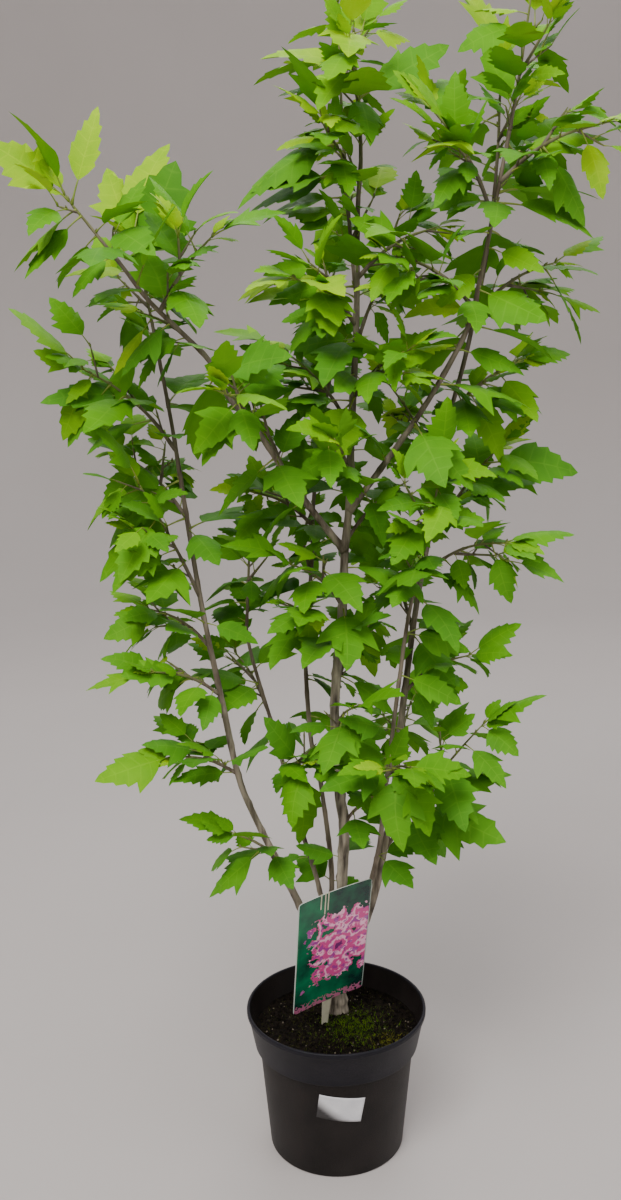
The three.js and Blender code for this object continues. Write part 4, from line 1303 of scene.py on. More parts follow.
def green_of(table):
    """A number from young and lit to old and shaded, cut into five steps; a leaf from the list brings its own
    green.
    """
    height = (table["root"][:, 2] - SOIL_TOP) / CROWN_HEIGHT
    youth_and_light = AGE_WEIGHT * table["age"] + HEIGHT_WEIGHT * height + CHANCE_WEIGHT * table["chance"]
    steps = np.quantile(youth_and_light, GREEN_SHARES)
    return np.where(table["green"] >= 0, table["green"], DEEP - np.searchsorted(steps, youth_and_light))


def leaf_material(name, first, second, vein, roughness):
    """A satin leaf with faint mottling and a fine relief, and paler lines along its veins."""
    material = new_material(name, first, second, roughness, 45.0, relief=900.0, depth=0.00015,
                            Specular_IOR_Level=LEAF_SPECULAR)
    tree = material.node_tree
    veins = tree.nodes.new("ShaderNodeGroup")
    veins.node_tree = VEINS
    tree.links.new(attribute(material, "leaf_place").outputs["Vector"], veins.inputs["Place"])
    lay_over(material, vein, maths(tree, "MULTIPLY", veins.outputs["Mask"], VEIN_STRENGTH))
    return material


def leaf_materials(name, first, second):
    """The upper side and the underside, painted paler for daylight through the blade, both with still paler
    veins.
    """
    vein = np.minimum(VEIN_GAIN * first + VEIN_LIFT, 1.0)
    under = [UNDER_GAIN * colour + UNDER_LIFT for colour in (first, second)]
    return [leaf_material(f"leaf_{name}", first, second, vein, LEAF_ROUGHNESS),
            leaf_material(f"leaf_{name}_underside", *under, vein, UNDERSIDE_ROUGHNESS)]


greens = green_of(table)
for step, (name, (first, second)) in enumerate(GREENS.items()):
    chosen = greens == step
    mesh = blade_mesh(f"leaves_{name}", blade_points[chosen])
    new_piece(f"leaves_{name}", mesh, leaf_materials(name, first, second), mass_names)
    print("leaves in", name, "green:", int(chosen.sum()))

# %% [markdown]
# ## Stalks and buds
#
# Each leaf hangs on a thin stalk that leaves the twig with a small swelling. A bud sits in the
# angle above each of the larger leaves.

# %% Leaf stalks
STALK_RADII, STALK_SIDES = np.array([1.35, 0.85, 0.7, 0.65, 0.4]), 5
STALK_UNDER_BLADE, STALK_SINK, STALK_BOW = 0.06, 0.3, 0.07
STALK_FULL_LENGTH, STALK_SIZES = 70, (0.45, 1.15)


def stalk_batch(table):
    """A quadratic curve from the twig to the blade's foot, bowed up in its middle."""
    root, face = table["root"], table["face"]
    reach = table["stalk"] + STALK_UNDER_BLADE * table["blade"]
    foot = root + table["ahead"] * reach[:, None] - face * STALK_SINK
    middle = (root + foot) / 2 + face * (STALK_BOW * table["stalk"])[:, None]
    t = np.linspace(0, 1, len(STALK_RADII))[None, :, None]
    paths = root[:, None] * (1 - t) ** 2 + middle[:, None] * 2 * t * (1 - t) + foot[:, None] * t * t
    size = np.clip(table["length"] / STALK_FULL_LENGTH, *STALK_SIZES)[:, None]
    return tubes(paths, size * STALK_RADII, STALK_SIDES)


stalk_green = new_material("stalk_green", (0.20, 0.28, 0.03), (0.30, 0.36, 0.05), 0.5, 60.0, depth=0.0001)
stalk_mesh = new_mesh("leaf_stalks", *stalk_batch(table))
new_piece("leaf_stalks", stalk_mesh, [stalk_green], mass_names)
print(len(leaves), "stalks")

# %% Buds
BUD_LENGTH, BUD_RADII = 5.0, np.array([0.7, 1.3, 1.15, 0.25])
BUD_LEAF, BUD_LEAN = 46, 0.7
BUD_FULL_LENGTH, BUD_SIZES = 75, (0.6, 1.1)


def bud_batch(table):
    """Small spindles at the larger leaves' feet, pointing between the stalk and straight up."""
    large = table["length"] > BUD_LEAF
    root, along = table["root"][large], unit(table["ahead"][large] * BUD_LEAN + UP)
    steps = np.linspace(0, 1, len(BUD_RADII))[:, None]
    size = np.clip(table["length"][large] / BUD_FULL_LENGTH, *BUD_SIZES)[:, None]
    paths = root[:, None] + along[:, None] * steps * (BUD_LENGTH * size)[..., None]
    return tubes(paths, size * BUD_RADII, STALK_SIDES)


bud_points, bud_faces = bud_batch(table)
bud_green = new_material("bud_green", (0.10, 0.12, 0.022), (0.20, 0.23, 0.045), 0.6, 400.0, depth=0.0001)
bud_mesh = new_mesh("leaf_buds", bud_points, bud_faces)
new_piece("leaf_buds", bud_mesh, [bud_green], mass_names)
print(len(bud_points) // (len(BUD_RADII) * STALK_SIDES), "buds")

# %% [markdown]
# ## The pot
#
# The pot is a moulded nursery pot: a tapering wall, a step, and a tall collar with a rolled lip.
# Its shape is a profile turned about its axis, with 128 steps where the solid has 32. The drain
# holes are cut with one boolean.

# %% Pot
POT = dict(height=166, rim=94, collar_foot=86, collar=42, shoulder=81.5, base=72.5, wall=1.8, lip=3.2)
COLLAR_FOOT = POT["height"] - POT["collar"]
POT_SIDES, DRAIN_SIDES = 128, 24
DRAIN_HOLES, DRAIN_RADIUS, DRAIN_CIRCLE, DRAIN_PEG = 6, 5, 58, (-4, 6)
FOOT_BEVEL, STEP_HOLLOW, STEP_ROUND = 1.5, 2.2, 1.6
LIP_BAND, BAND_ROUND, LIP_ROUND = 6.5, 1.4, 1.6
# The two dark colours differ a little: the collar's bluer dark is a painted sheen, and the collar is the
# smoother one
PLASTICS = {
    "collar_plastic": dict(first=(0.0055, 0.0052, 0.0090), second=(0.0125, 0.0115, 0.0170),
                           roughness=0.46, scale=22.0, Specular_IOR_Level=0.22),
    "wall_plastic": dict(first=(0.0070, 0.0050, 0.0045), second=(0.0140, 0.0105, 0.0095),
                         roughness=0.50, scale=26.0, Specular_IOR_Level=0.24),
}


def arc(centre, radius, start, end, steps):
    """Points on a quarter or part of a circle, from one angle to another, in degrees."""
    angle = np.radians(np.linspace(start, end, steps))
    return np.stack([centre[0] + radius * np.cos(angle), centre[1] + radius * np.sin(angle)], 1)


def pot_profile():
    """Radius and height of the outline, up the outside, over the lip and down the inside."""
    foot, top, rim, wall = COLLAR_FOOT, POT["height"], POT["rim"], POT["wall"]
    base, shoulder, collar = POT["base"], POT["shoulder"], POT["collar_foot"]
    outside = [[(0, 0), (base - 2 * FOOT_BEVEL, 0)],
               arc((base - FOOT_BEVEL, FOOT_BEVEL), FOOT_BEVEL, -90, 0, 5),
               [(shoulder - 0.25, foot - 5)],
               arc((shoulder + 2.0, foot - 4), STEP_HOLLOW, 180, 100, 5),
               arc((collar - 1.2, foot + 0.9), STEP_ROUND, -90, 0, 5)]
    lip = [[(rim - LIP_ROUND, top - LIP_BAND)],
           arc((rim - BAND_ROUND, top - 4.6), BAND_ROUND, -60, 0, 4),
           arc((rim - LIP_ROUND, top - LIP_ROUND), LIP_ROUND, 0, 90, 5),
           arc((rim - POT["lip"] + BAND_ROUND, top - BAND_ROUND), BAND_ROUND, 90, 180, 4)]
    inside = [[(collar - wall - 0.4, foot + 3), (shoulder - wall, foot - 3),
               (base - wall, wall + 1), (base - wall - 1, wall), (0, wall)]]
    return np.vstack(outside + lip + inside)


def turn(profile, sides):
    """A profile turned about the Z axis; its first and last points lie on the axis."""
    angle = 2 * np.pi * np.arange(sides) / sides
    body = profile[1:-1]
    ring = np.stack([np.cos(angle), np.sin(angle)], 1)
    walls = np.concatenate([body[:, None, :1] * ring, np.repeat(body[:, None, 1:], sides, 1)], 2)
    points = np.vstack([walls.reshape(-1, 3), [0, 0, profile[0, 1]], [0, 0, profile[-1, 1]]])
    rows = np.arange(len(body) - 1)[:, None] * sides
    here, there = rows + np.arange(sides), rows + (np.arange(sides) + 1) % sides
    quads = np.stack([here, there, there + sides, here + sides], -1).reshape(-1, 4)
    last = (len(body) - 1) * sides
    k = np.arange(sides)
    foot = np.stack([np.full(sides, len(points) - 2), (k + 1) % sides, k], 1)
    head = np.stack([np.full(sides, len(points) - 1), last + k, last + (k + 1) % sides], 1)
    return points, [quads, foot, head]


def cut_drain_holes(piece):
    """Short pegs through the floor, taken away by one boolean that is then applied."""
    angle = 2 * np.pi * np.arange(DRAIN_HOLES) / DRAIN_HOLES
    centres = DRAIN_CIRCLE * np.stack([np.cos(angle), np.sin(angle), 0 * angle], 1)
    heights = np.array(DRAIN_PEG)[:, None] * UP
    radii = np.full((DRAIN_HOLES, 2), DRAIN_RADIUS)
    pegs, faces = tubes(centres[:, None] + heights, radii, DRAIN_SIDES)
    cutter = bpy.data.objects.new("cutter", new_mesh("cutter", pegs, faces))
    bpy.context.scene.collection.objects.link(cutter)
    cut = piece.modifiers.new("drain holes", "BOOLEAN")
    cut.operation, cut.solver, cut.object = "DIFFERENCE", "EXACT", cutter
    bpy.context.view_layer.update()
    whole = piece.evaluated_get(bpy.context.evaluated_depsgraph_get())
    done = bpy.data.meshes.new_from_object(whole)
    piece.modifiers.clear()
    piece.data = done
    bpy.data.objects.remove(cutter)


def use_both_plastics(piece):
    """The wall, and the inside below the lip, take the second plastic; the rest is the first."""
    faces = piece.data.polygons
    middles, normals = (np.empty(3 * len(faces), np.float32) for _ in range(2))
    faces.foreach_get("center", middles)
    faces.foreach_get("normal", normals)
    middles, normals = middles.reshape(-1, 3) / MM, normals.reshape(-1, 3)
    is_wall = middles[:, 2] < COLLAR_FOOT - 1
    is_inside = (middles[:, :2] * normals[:, :2]).sum(1) < 0
    below_lip = middles[:, 2] < POT["height"] - 6
    faces.foreach_set("material_index", (is_wall | is_inside & below_lip).astype(np.int32))


plastics = [new_material(name, relief=650.0, depth=0.00025, **look) for name, look in PLASTICS.items()]
pot_mesh = new_mesh("nursery_pot", *turn(pot_profile(), POT_SIDES))
pot = new_piece("nursery_pot", pot_mesh, plastics, ["pot"])
cut_drain_holes(pot)
use_both_plastics(pot)
print("the pot has", len(pot.data.polygons), "faces")

# %% [markdown]
# ## Compost
#
# The compost is dark and lumpy, nearly level at the wall and heaped round the stems. Its surface
# is one function of place, so that crumbs and moss can rest on it too.

# %% Compost
SOIL_RINGS, SOIL_SIDES, SOIL_SINK = 44, 144, 2.5
LUMP_SEED, LUMP_SIZES, LUMPS_PER_SIZE = 23, (34.0, 19.0, 11.0, 6.5, 4.0, 2.6), 3
LUMP_HEIGHT, LUMP_POWER = 0.055, 0.8
CALM_RADIUS, CALM_WIDTH, CALM_SHARE = 88, 8, 0.25
HEAP_PLACE, HEAP_HEIGHT, HEAP_SPREAD = (3, 26), 3.0, 30


def lumps(x, y):
    """Hills of several sizes added up: products of sines whose directions and sizes differ."""
    rng = np.random.default_rng(LUMP_SEED)
    total = np.zeros_like(x)
    for size in LUMP_SIZES:
        for _ in range(LUMPS_PER_SIZE):
            turn_by, shift = rng.uniform(0, 2 * np.pi), rng.uniform(0, 6, 2)
            u = (x * math.cos(turn_by) + y * math.sin(turn_by)) * 2 * np.pi / size
            v = (y * math.cos(turn_by) - x * math.sin(turn_by)) * 2 * np.pi / size
            total += LUMP_HEIGHT * size**LUMP_POWER * np.sin(u + shift[0]) * np.sin(v + shift[1])
    return total


def soil_height(x, y):
    """The lumps, dying out at the wall, on a low heap round the foot of the trunk."""
    calm = np.clip((CALM_RADIUS - np.hypot(x, y)) / CALM_WIDTH, CALM_SHARE, 1)
    away = (x - HEAP_PLACE[0]) ** 2 + (y - HEAP_PLACE[1]) ** 2
    heap = HEAP_HEIGHT * np.exp(-away / HEAP_SPREAD**2)
    return SOIL_TOP - SOIL_SINK + lumps(x, y) * calm + heap


def soil_mesh():
    """A polar grid for the top, and a plain wall and floor inside the pot."""
    gap = POT["wall"] + CLEARANCE
    widening = (POT["rim"] - POT["collar_foot"]) * (SOIL_TOP - COLLAR_FOOT) / POT["collar"]
    radii = np.linspace(0, POT["collar_foot"] + widening - gap - 0.8, SOIL_RINGS)
    floor = POT["wall"] + 0.5
    walls = np.array([(POT["collar_foot"] - gap - 1, COLLAR_FOOT + 2),
                      (POT["shoulder"] - gap - 0.6, COLLAR_FOOT - 4),
                      (POT["base"] - gap - 0.8, floor), (0, floor)])
    profile = np.vstack([walls[::-1], np.stack([radii[::-1], np.full(SOIL_RINGS, SOIL_TOP)], 1)])
    points, faces = turn(profile, SOIL_SIDES)
    top = points[:, 2] > SOIL_TOP - 1
    points[top, 2] = soil_height(points[top, 0], points[top, 1])
    return new_mesh("compost", points, faces)


compost = new_material("compost", (0.0015, 0.0010, 0.0008), (0.014, 0.0095, 0.0065), 0.95, 230.0,
                       relief=900.0, depth=0.0012, Specular_IOR_Level=0.10)
new_piece("compost", soil_mesh(), [compost], ["soil"])
compost_line = lumps(np.linspace(-80, 80, 99), np.zeros(99))
print("the lumps on a line across rise to", round(compost_line.max(), 1), "mm")

# %% Crumbs
CUBE = np.array([(x, y, z) for x in (-1, 1) for y in (-1, 1) for z in (-1, 1)], float)
BALL = np.vstack([CUBE / math.sqrt(3), np.eye(3), -np.eye(3)])
CORNER_SPREAD, SIDE_SPREAD = (0.6, 1.15), (0.45, 1.2)
CRUMB_SEED = 31


def crumb_faces():
    """The 24 faces of a cube whose sides are pushed out to six more corners."""
    faces = []
    for axis in range(3):
        for sign, peak in ((1, 8 + axis), (-1, 11 + axis)):
            ring = [k for k in range(8) if BALL[k, axis] * sign > 0]
            u, v = (axis + 1) % 3, (axis + 2) % 3
            ring.sort(key=lambda k: math.atan2(BALL[k, v], BALL[k, u]))
            ring = ring if sign > 0 else ring[::-1]
            faces += [(peak, ring[k], ring[(k + 1) % 4]) for k in range(4)]
    return np.array(faces)


def scatter(count, reach, seed):
    """Places spread evenly over a round patch of the compost, resting on it."""
    rng = np.random.default_rng(seed)
    angle = rng.uniform(0, 2 * np.pi, count)
    radius = reach * np.sqrt(rng.uniform(0, 1, count))
    x, y = radius * np.cos(angle), radius * np.sin(angle)
    return np.stack([x, y, soil_height(x, y)], 1)


def crumb_mesh(name, places, sizes, seed):
    """The same small lump at each place, with its corners pushed in and out by chance."""
    rng = np.random.default_rng(seed)
    shape = BALL * rng.uniform(*CORNER_SPREAD, (len(places), len(BALL), 1))
    shape = shape * rng.uniform(*SIDE_SPREAD, (len(places), 1, 3)) * sizes[:, None, None]
    points = places[:, None] + shape
    offsets = (np.arange(len(places)) * len(BALL))[:, None, None]
    faces = [(crumb_faces()[None] + offsets).reshape(-1, 3)]
    return new_mesh(name, points.reshape(-1, 3), faces, smooth=False)


pale = new_material("pale_bits", (0.06, 0.045, 0.030), (0.22, 0.18, 0.13), 0.9, 300.0, depth=0.0003)
# Name, how many, how far out, their sizes, the seeds of their places and shapes, and the material
CRUMBS = [
    ("compost_crumbs", 1500, 83, (0.7, 2.6), 5, 6, compost),
    ("compost_pale_bits", 150, 80, (0.5, 1.5), 8, 9, pale),
]
rng = np.random.default_rng(CRUMB_SEED)
for name, count, reach, sizes, place_seed, shape_seed, material in CRUMBS:
    places = scatter(count, reach, place_seed)
    mesh = crumb_mesh(name, places, rng.uniform(*sizes, count), shape_seed)
    new_piece(name, mesh, [material])
    print(name, count)

# %% [markdown]
# ## Moss
#
# Moss has settled on the wet compost: a bright green cushion in front of the stems, a yellower
# one at the rim, and thin olive moss over the rest. Each sprig is a slim leaning cone.

# %% Moss
# How many sprigs, the patch's middle and spread, the sprigs' heights and the two colours
MOSS = {
    "bright": (1150, (17, -2), 17, (1.6, 4.4), (0.022, 0.050, 0.003), (0.090, 0.165, 0.006)),
    "yellow": (360, (55, -32), 9, (1.5, 3.6), (0.040, 0.040, 0.006), (0.150, 0.145, 0.015)),
    "olive": (3000, (4, -2), 48, (1.2, 3.0), (0.012, 0.014, 0.003), (0.055, 0.058, 0.010)),
}
MOSS_REACH, MOSS_SEED = 83, 40
SPRIG_SINK, SPRIG_LEAN, SPRIG_RADII = 0.4, 0.55, (0.25, 0.6)


def sprigs(count, centre, spread, heights, seed):
    """Cones with four sides: a small ring on the compost and a tip that leans by chance."""
    rng = np.random.default_rng(seed)
    foot = np.array(centre) + rng.normal(0, spread, (count, 2))
    foot = foot[np.hypot(*foot.T) < MOSS_REACH]
    count = len(foot)
    base = np.column_stack([foot, soil_height(*foot.T) - SPRIG_SINK])
    tall = rng.uniform(*heights, count)
    lean = rng.normal(0, SPRIG_LEAN, (count, 2)) * tall[:, None]
    tip = base + np.column_stack([lean, tall])
    angle = rng.uniform(0, np.pi, count)[:, None] + np.arange(4) * np.pi / 2
    radii = rng.uniform(*SPRIG_RADII, (count, 1, 1))
    ring = np.stack([np.cos(angle), np.sin(angle), 0 * angle], -1) * radii
    points = np.concatenate([base[:, None] + ring, tip[:, None]], 1)
    offsets = (np.arange(count) * 5)[:, None, None]
    sides = (np.array([(k, (k + 1) % 4, 4) for k in range(4)])[None] + offsets).reshape(-1, 3)
    under = (np.array([(3, 2, 1, 0)])[None] + offsets).reshape(-1, 4)
    return points.reshape(-1, 3), [sides, under]


for seed, (name, (*patch, first, second)) in enumerate(MOSS.items(), MOSS_SEED):
    mesh = new_mesh(f"moss_{name}", *sprigs(*patch, seed), smooth=False)
    moss = new_material(f"moss_{name}", first, second, 0.85, 120.0, depth=0.0001, Specular_IOR_Level=0.10)
    new_piece(f"moss_{name}", mesh, [moss])
    print(f"moss_{name}", len(mesh.vertices) // 5, "sprigs")

# %% [markdown]
# ## Picture label
#
# A plastic card on a short stake leans in the compost. Its print is a generic one: a green ground
# with rings in pinks. The card is a grid with rounded corners, bowed a little, with a front, a
# back and a thin white edge.

# %% Picture label
CARD = dict(width=86, height=147, thick=0.8, corner=4, bow=2.2, top_back=1.5)
CARD_PLACE = (-10, -6, 175)
CARD_YAW, CARD_LEAN, CARD_ROLL = 33, -13, 4
CARD_COLUMNS, CARD_ROWS, CORNER_STEPS = 24, 26, 6

# The print's places are in shares of the card's width, from the middle of its foot.
PRINT_FOOT, PRINT_TOP, PRINT_LEFT, STRIP_TOP, SIDE_FROM = 0.36, 1.36, -0.27, 0.10, 0.490
CENTRES, CENTRE_SPREAD, RUFFLES, RUFFLE = 2.6, 0.7, 11.0, 0.5
RINGS_REACH, EYE_REACH, RING_COUNT, RING_STRENGTH = 0.68, 0.14, 26.0, 0.9
# The speckle runs from 0 to 1: spots and the strip show where it is above these
SPOTS_FROM, STRIP_FROM, SPECKLE_STRENGTH = 0.57, 0.45, 0.8
PINK, PALE_PINK, MAUVE = (0.66, 0.07, 0.28), (1.0, 0.56, 0.74), (0.30, 0.04, 0.30)
EYE, STRIP, PALE_SIDE = (0.16, 0.02, 0.14), (0.62, 0.16, 0.32), (0.50, 0.60, 0.54)


def rotation(axis, degrees):
    """A turn about one of the three axes."""
    return np.array(Matrix.Rotation(math.radians(degrees), 3, axis))


CARD_TURN = rotation("Z", CARD_YAW) @ rotation("X", -CARD_LEAN) @ rotation("Y", -CARD_ROLL)


def placed(points):
    """From the card's own width, depth and height to its place in the pot."""
    return points @ CARD_TURN.T + CARD_PLACE


def slab(front, back):
    """A closed plate from two grids of points, joined by a strip round their border."""
    rows, columns, _ = front.shape
    index = np.arange(rows * columns).reshape(rows, columns)
    grid = np.stack([index[:-1, :-1], index[:-1, 1:], index[1:, 1:], index[1:, :-1]], -1).reshape(-1, 4)
    border = np.concatenate([index[0], index[1:, -1], index[-1, -2::-1], index[-2:0:-1, 0]])
    following = np.roll(border, -1)
    behind = rows * columns
    strip = np.stack([border, border + behind, following + behind, following], 1)
    faces = np.concatenate([grid, grid[:, ::-1] + behind, strip])
    uses = np.concatenate([np.zeros(len(grid)), np.ones(len(grid) + len(strip))])
    return np.concatenate([front.reshape(-1, 3), back.reshape(-1, 3)]), [faces], uses


def card_depth(x, z):
    """The bow, -bow (x / half width)^2, and the top's lean back, top_back (z / height)^2."""
    across, up = x / (CARD["width"] / 2), z / CARD["height"]
    return -CARD["bow"] * across**2 + CARD["top_back"] * up**2


def card_grids():
    """Rows up the card whose half width rounds the corners off, bowed forward at both sides."""
    corner, height, half = CARD["corner"], CARD["height"], CARD["width"] / 2
    bends = corner * (1 - np.cos(np.radians(np.linspace(0, 90, CORNER_STEPS))))
    between = np.linspace(corner, height - corner, CARD_ROWS)[1:-1]
    z = np.concatenate([bends, between, height - bends[::-1]])
    edge = np.clip(corner - np.minimum(z, height - z), 0, corner)
    wide = half - corner + np.sqrt(corner**2 - edge**2)
    share = np.linspace(-1, 1, CARD_COLUMNS + 1)
    x = wide[:, None] * share
    z = np.repeat(z[:, None], len(share), 1)
    middle = np.stack([x, card_depth(x, z), z], -1)
    depth = np.array([0, CARD["thick"] / 2, 0])
    return middle - depth, middle + depth


def print_material():
    """Ruffled rings round scattered centres, in pinks, on a ground of two greens.

    Distance to the nearest centre plus noise gives the rings; the print stops short of the left
    edge and of both ends, a speckled pink strip runs along the foot, and both sides stay pale.
    """
    material = new_material("label_print", (0.003, 0.030, 0.024), (0.004, 0.19, 0.075), 0.25, 26.0,
                            depth=0.0, limits=(0.40, 0.62))
    tree = material.node_tree
    place = attribute(material, "card_place").outputs["Vector"]
    cells, noise = tree.nodes.new("ShaderNodeTexVoronoi"), tree.nodes.new("ShaderNodeTexNoise")
    cells.inputs["Scale"].default_value = CENTRES
    cells.inputs["Randomness"].default_value = CENTRE_SPREAD
    noise.inputs["Scale"].default_value = RUFFLES
    split = tree.nodes.new("ShaderNodeSeparateXYZ")
    for node in (cells, noise, split):
        tree.links.new(place, node.inputs["Vector"])
    x, z, speckle = split.outputs["X"], split.outputs["Y"], noise.outputs["Fac"]

    waver = maths(tree, "SUBTRACT", speckle, 0.5)
    shift = maths(tree, "MULTIPLY", waver, RUFFLE)
    distance = maths(tree, "ADD", cells.outputs["Distance"], shift)
    wavy_height = maths(tree, "ADD", z, shift)
    within = maths(tree, "LESS_THAN", distance, RINGS_REACH)
    low = maths(tree, "GREATER_THAN", wavy_height, PRINT_FOOT)
    high = maths(tree, "LESS_THAN", wavy_height, PRINT_TOP)
    left = maths(tree, "GREATER_THAN", maths(tree, "ADD", x, waver), PRINT_LEFT)
    band = maths(tree, "MULTIPLY", low, high)
    field = maths(tree, "MULTIPLY", maths(tree, "MULTIPLY", within, left), band)
    lay_over(material, PINK, field)

    rings = maths(tree, "SINE", maths(tree, "MULTIPLY", distance, RING_COUNT))
    crests = maths(tree, "MAXIMUM", maths(tree, "MULTIPLY", rings, RING_STRENGTH), 0.0)
    lay_over(material, PALE_PINK, maths(tree, "MULTIPLY", field, crests))
    spots = maths(tree, "GREATER_THAN", speckle, SPOTS_FROM)
    mauve = maths(tree, "MULTIPLY", field, maths(tree, "MULTIPLY", spots, SPECKLE_STRENGTH))
    lay_over(material, MAUVE, mauve)
    eyes = maths(tree, "LESS_THAN", distance, EYE_REACH)
    lay_over(material, EYE, maths(tree, "MULTIPLY", field, eyes))

    strip = maths(tree, "LESS_THAN", wavy_height, STRIP_TOP)
    speckled = maths(tree, "MULTIPLY", strip, maths(tree, "GREATER_THAN", speckle, STRIP_FROM))
    lay_over(material, STRIP, maths(tree, "MULTIPLY", speckled, SPECKLE_STRENGTH))
    side = maths(tree, "GREATER_THAN", maths(tree, "ABSOLUTE", x), SIDE_FROM)
    lay_over(material, PALE_SIDE, side)
    return material


card_points, card_faces, card_uses = slab(*card_grids())
card_mesh = new_mesh("picture_card", placed(card_points), card_faces, uses=card_uses)
card_x, card_z = card_points[:, 0], card_points[:, 2]
card_places = np.column_stack([card_x, card_z, 0 * card_x]) / CARD["width"]
point_attribute(card_mesh, "card_place", card_places)
white_plastic = new_material("white_plastic", (0.62, 0.64, 0.60), (0.74, 0.74, 0.70), 0.4, 60.0, depth=0.0001)
new_piece("picture_card", card_mesh, [print_material(), white_plastic], ["label"])
print("the card has", len(card_faces[0]), "faces")

# %% Stake and prongs
#
# The stake carries the card. Three thin prongs of it come over the card's top edge and hold it.
STAKE = dict(width=11, length=64, taper=0.4, thick=1.0, above=3)
STAKE_ROWS, STAKE_COLUMNS = 16, 7
# Where each prong stands across the card, and how far down it reaches
PRONGS = [(-16.0, 17), (-11.0, 25), (-7.5, 21)]
PRONG_WIDTH, PRONG_THICK, PRONG_ABOVE, PRONG_ROWS = 1.2, 0.5, 1.5, 6


def stake_grids():
    """A strip whose half width falls straight from the card to its foot, with a rounded face."""
    z = np.linspace(STAKE["above"], -STAKE["length"], STAKE_ROWS)
    half = STAKE["width"] / 2 * np.interp(-z, [0, STAKE["length"]], [1, STAKE["taper"]])[:, None]
    x = half * np.linspace(-1, 1, STAKE_COLUMNS)
    y = 0.7 - 0.5 * (x / half) ** 2 - STAKE["thick"] / 2
    front = np.stack([x, y, np.repeat(z[:, None], STAKE_COLUMNS, 1)], -1)[::-1]
    return front, front + np.array([0, STAKE["thick"], 0])


def prong_grids(middle_x, length):
    """A narrow strip in front of the card, from a little above its top edge down."""
    z = np.linspace(CARD["height"] - length, CARD["height"] + PRONG_ABOVE, PRONG_ROWS)
    z = np.repeat(z[:, None], 2, 1)
    x = middle_x + PRONG_WIDTH * np.tile([-0.5, 0.5], (PRONG_ROWS, 1))
    front = np.stack([x, card_depth(x, z) - 1.0, z], -1)
    return front, front + np.array([0, PRONG_THICK, 0])


stake_plastic = new_material("stake_plastic", (0.56, 0.53, 0.38), (0.68, 0.65, 0.50), 0.45, 80.0,
                             depth=0.0001)
stake_points, stake_faces, _ = slab(*stake_grids())
stake_mesh = new_mesh("label_stake", placed(stake_points), stake_faces)
new_piece("label_stake", stake_mesh, [stake_plastic], ["label"])
prong_points, prong_faces = join([slab(*prong_grids(*prong))[:2] for prong in PRONGS])
prong_mesh = new_mesh("label_prongs", placed(prong_points), prong_faces, smooth=False)
new_piece("label_prongs", prong_mesh, [stake_plastic], ["label"])
print("prongs:", len(PRONGS))

# %% [markdown]
# ## Sticker
#
# A small white paper sticker on the front of the pot, put on a little crooked and scuffed at its
# lower left. It follows the round wall, and its face stands less than half a millimetre off it.

# %% Sticker
STICKER = dict(width=47, height=30, angle=-88.5, z=91, tilt=-8.0)
STICKER_COLUMNS, STICKER_ROWS = 25, 13
STICKER_OFF_WALL = (0.4, 0.1)
WALL_RADIUS = 79.5
SCUFF_START, SCUFF_FALL, SCUFF_STRENGTH = 1.95, 2.3, 0.97


def sticker_grids():
    """A flat grid turned by the tilt, rolled onto the tapering wall at its own radius."""
    u = np.linspace(-0.5, 0.5, STICKER_COLUMNS) * STICKER["width"]
    v = np.linspace(-0.5, 0.5, STICKER_ROWS)[:, None] * STICKER["height"]
    tilt = math.radians(STICKER["tilt"])
    along = u * math.cos(tilt) - v * math.sin(tilt)
    up = STICKER["z"] + u * math.sin(tilt) + v * math.cos(tilt)
    wall = POT["base"] + (POT["shoulder"] - POT["base"]) * up / (COLLAR_FOOT - 5)
    angle = math.radians(STICKER["angle"]) + along / WALL_RADIUS
    return [np.stack([(wall + off) * np.cos(angle), (wall + off) * np.sin(angle), up], -1)
            for off in STICKER_OFF_WALL]


sticker_points, sticker_faces, _ = slab(*sticker_grids())
sticker_mesh = new_mesh("pot_sticker", sticker_points, sticker_faces)
across, up = np.meshgrid(np.linspace(0, 1, STICKER_COLUMNS), np.linspace(0, 1, STICKER_ROWS))
scuff = np.clip(SCUFF_START - SCUFF_FALL * up - SCUFF_FALL * across, 0, 1)
point_attribute(sticker_mesh, "scuff", np.tile(scuff.ravel(), 2))
paper = new_material("sticker_paper", (0.80, 0.80, 0.82), (0.66, 0.66, 0.69), 0.6, 35.0, depth=0.0001)
worn = maths(paper.node_tree, "MULTIPLY", attribute(paper, "scuff").outputs["Fac"], SCUFF_STRENGTH)
lay_over(paper, (0.012, 0.010, 0.010), worn)
new_piece("pot_sticker", sticker_mesh, [paper])
print("the sticker is", STICKER["width"], "by", STICKER["height"], "mm")

# %% [markdown]
# ## Stage and light
#
# A pale floor that curves up into a round wall far off gives an even ground from every side, and
# large soft lights above and in front stand for the overcast daylight.

# %% Stage and light
STAGE = dict(z=-0.5, middle=200, flat=2600.0, bend=1500.0, top=5200.0)
STAGE_SIDES, BEND_STEPS = 96, 14
# Name, place and width in metres, watts, and colour
LIGHTS = [
    ("key", (-0.7, -1.7, 3.0), 1.5, 92, (1.0, 0.99, 0.96)),
    ("fill", (1.9, -1.2, 1.6), 1.8, 18, (0.95, 0.97, 1.0)),
    ("back", (0.3, 2.0, 2.6), 1.8, 26, (1.0, 1.0, 1.0)),
]
LIGHT_AIM = np.array([0.0, 0.0, 0.6])
SKY_COLOUR, SKY_STRENGTH = (0.97, 0.98, 1.0), 0.90


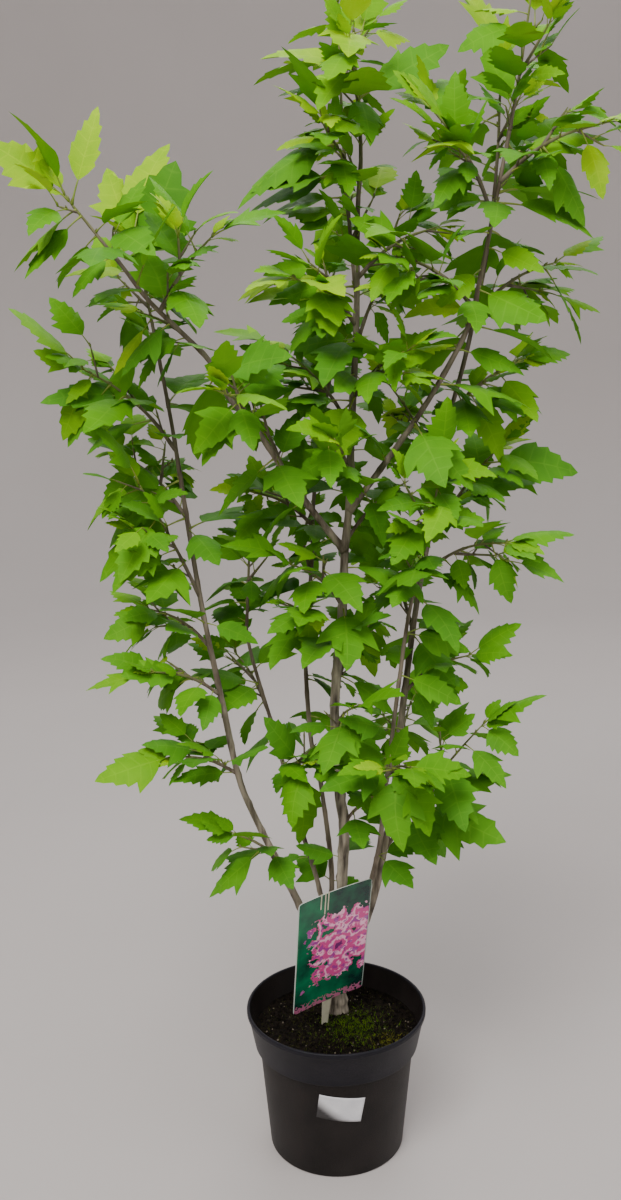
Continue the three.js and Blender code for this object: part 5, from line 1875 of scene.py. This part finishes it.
def stage_mesh():
    """A profile turned about the Z axis: flat, then a wide curve up to a wall."""
    z, flat, bend = STAGE["z"], STAGE["flat"], STAGE["bend"]
    curve = arc((flat, bend + z), bend, -80, 0, BEND_STEPS)
    profile = np.vstack([[(STAGE["middle"], z), (flat, z)], curve, [(flat + bend, STAGE["top"])]])
    k = np.arange(STAGE_SIDES)
    angle = 2 * np.pi * k / STAGE_SIDES
    ring = np.stack([np.cos(angle), np.sin(angle)], 1)
    heights = np.repeat(profile[:, None, 1:], STAGE_SIDES, 1)
    walls = np.concatenate([profile[:, None, :1] * ring, heights], 2)
    points = np.vstack([walls.reshape(-1, 3), [0, 0, z]])
    following = (k + 1) % STAGE_SIDES
    rows = np.arange(len(profile) - 1)[:, None] * STAGE_SIDES
    here, there = rows + k, rows + following
    quads = np.stack([here, here + STAGE_SIDES, there + STAGE_SIDES, there], -1).reshape(-1, 4)
    fan = np.stack([np.full(STAGE_SIDES, len(points) - 1), k, following], 1)
    return new_mesh("floor", points, [quads, fan])


def make_stage():
    """The pale floor, which is no part of the plant."""
    mesh = stage_mesh()
    pale_floor = new_material("pale_floor", (0.500, 0.460, 0.445), (0.520, 0.480, 0.465), 0.9, 1.5, depth=0.0)
    mesh.materials.append(pale_floor)
    floor = bpy.data.objects.new("floor", mesh)
    bpy.context.scene.collection.objects.link(floor)


def soft_light(name, place, size, watts, colour):
    """A square area light that looks at the middle of the crown."""
    lamp = bpy.data.lights.new(name, "AREA")
    lamp.size, lamp.energy, lamp.color = size, watts, colour
    light = bpy.data.objects.new(name, lamp)
    bpy.context.scene.collection.objects.link(light)
    light.location = place
    light.rotation_mode = "QUATERNION"
    light.rotation_quaternion = Vector(LIGHT_AIM - place).to_track_quat("-Z", "Y")


def set_world():
    """Even light from all round."""
    world = bpy.data.worlds.new("sky")
    world.use_nodes = True
    background = world.node_tree.nodes["Background"]
    background.inputs["Color"].default_value = colour4(SKY_COLOUR)
    background.inputs["Strength"].default_value = SKY_STRENGTH
    bpy.context.scene.world = world


make_stage()
for light in LIGHTS:
    soft_light(*light)
set_world()
print("lights:", [name for name, *_ in LIGHTS])
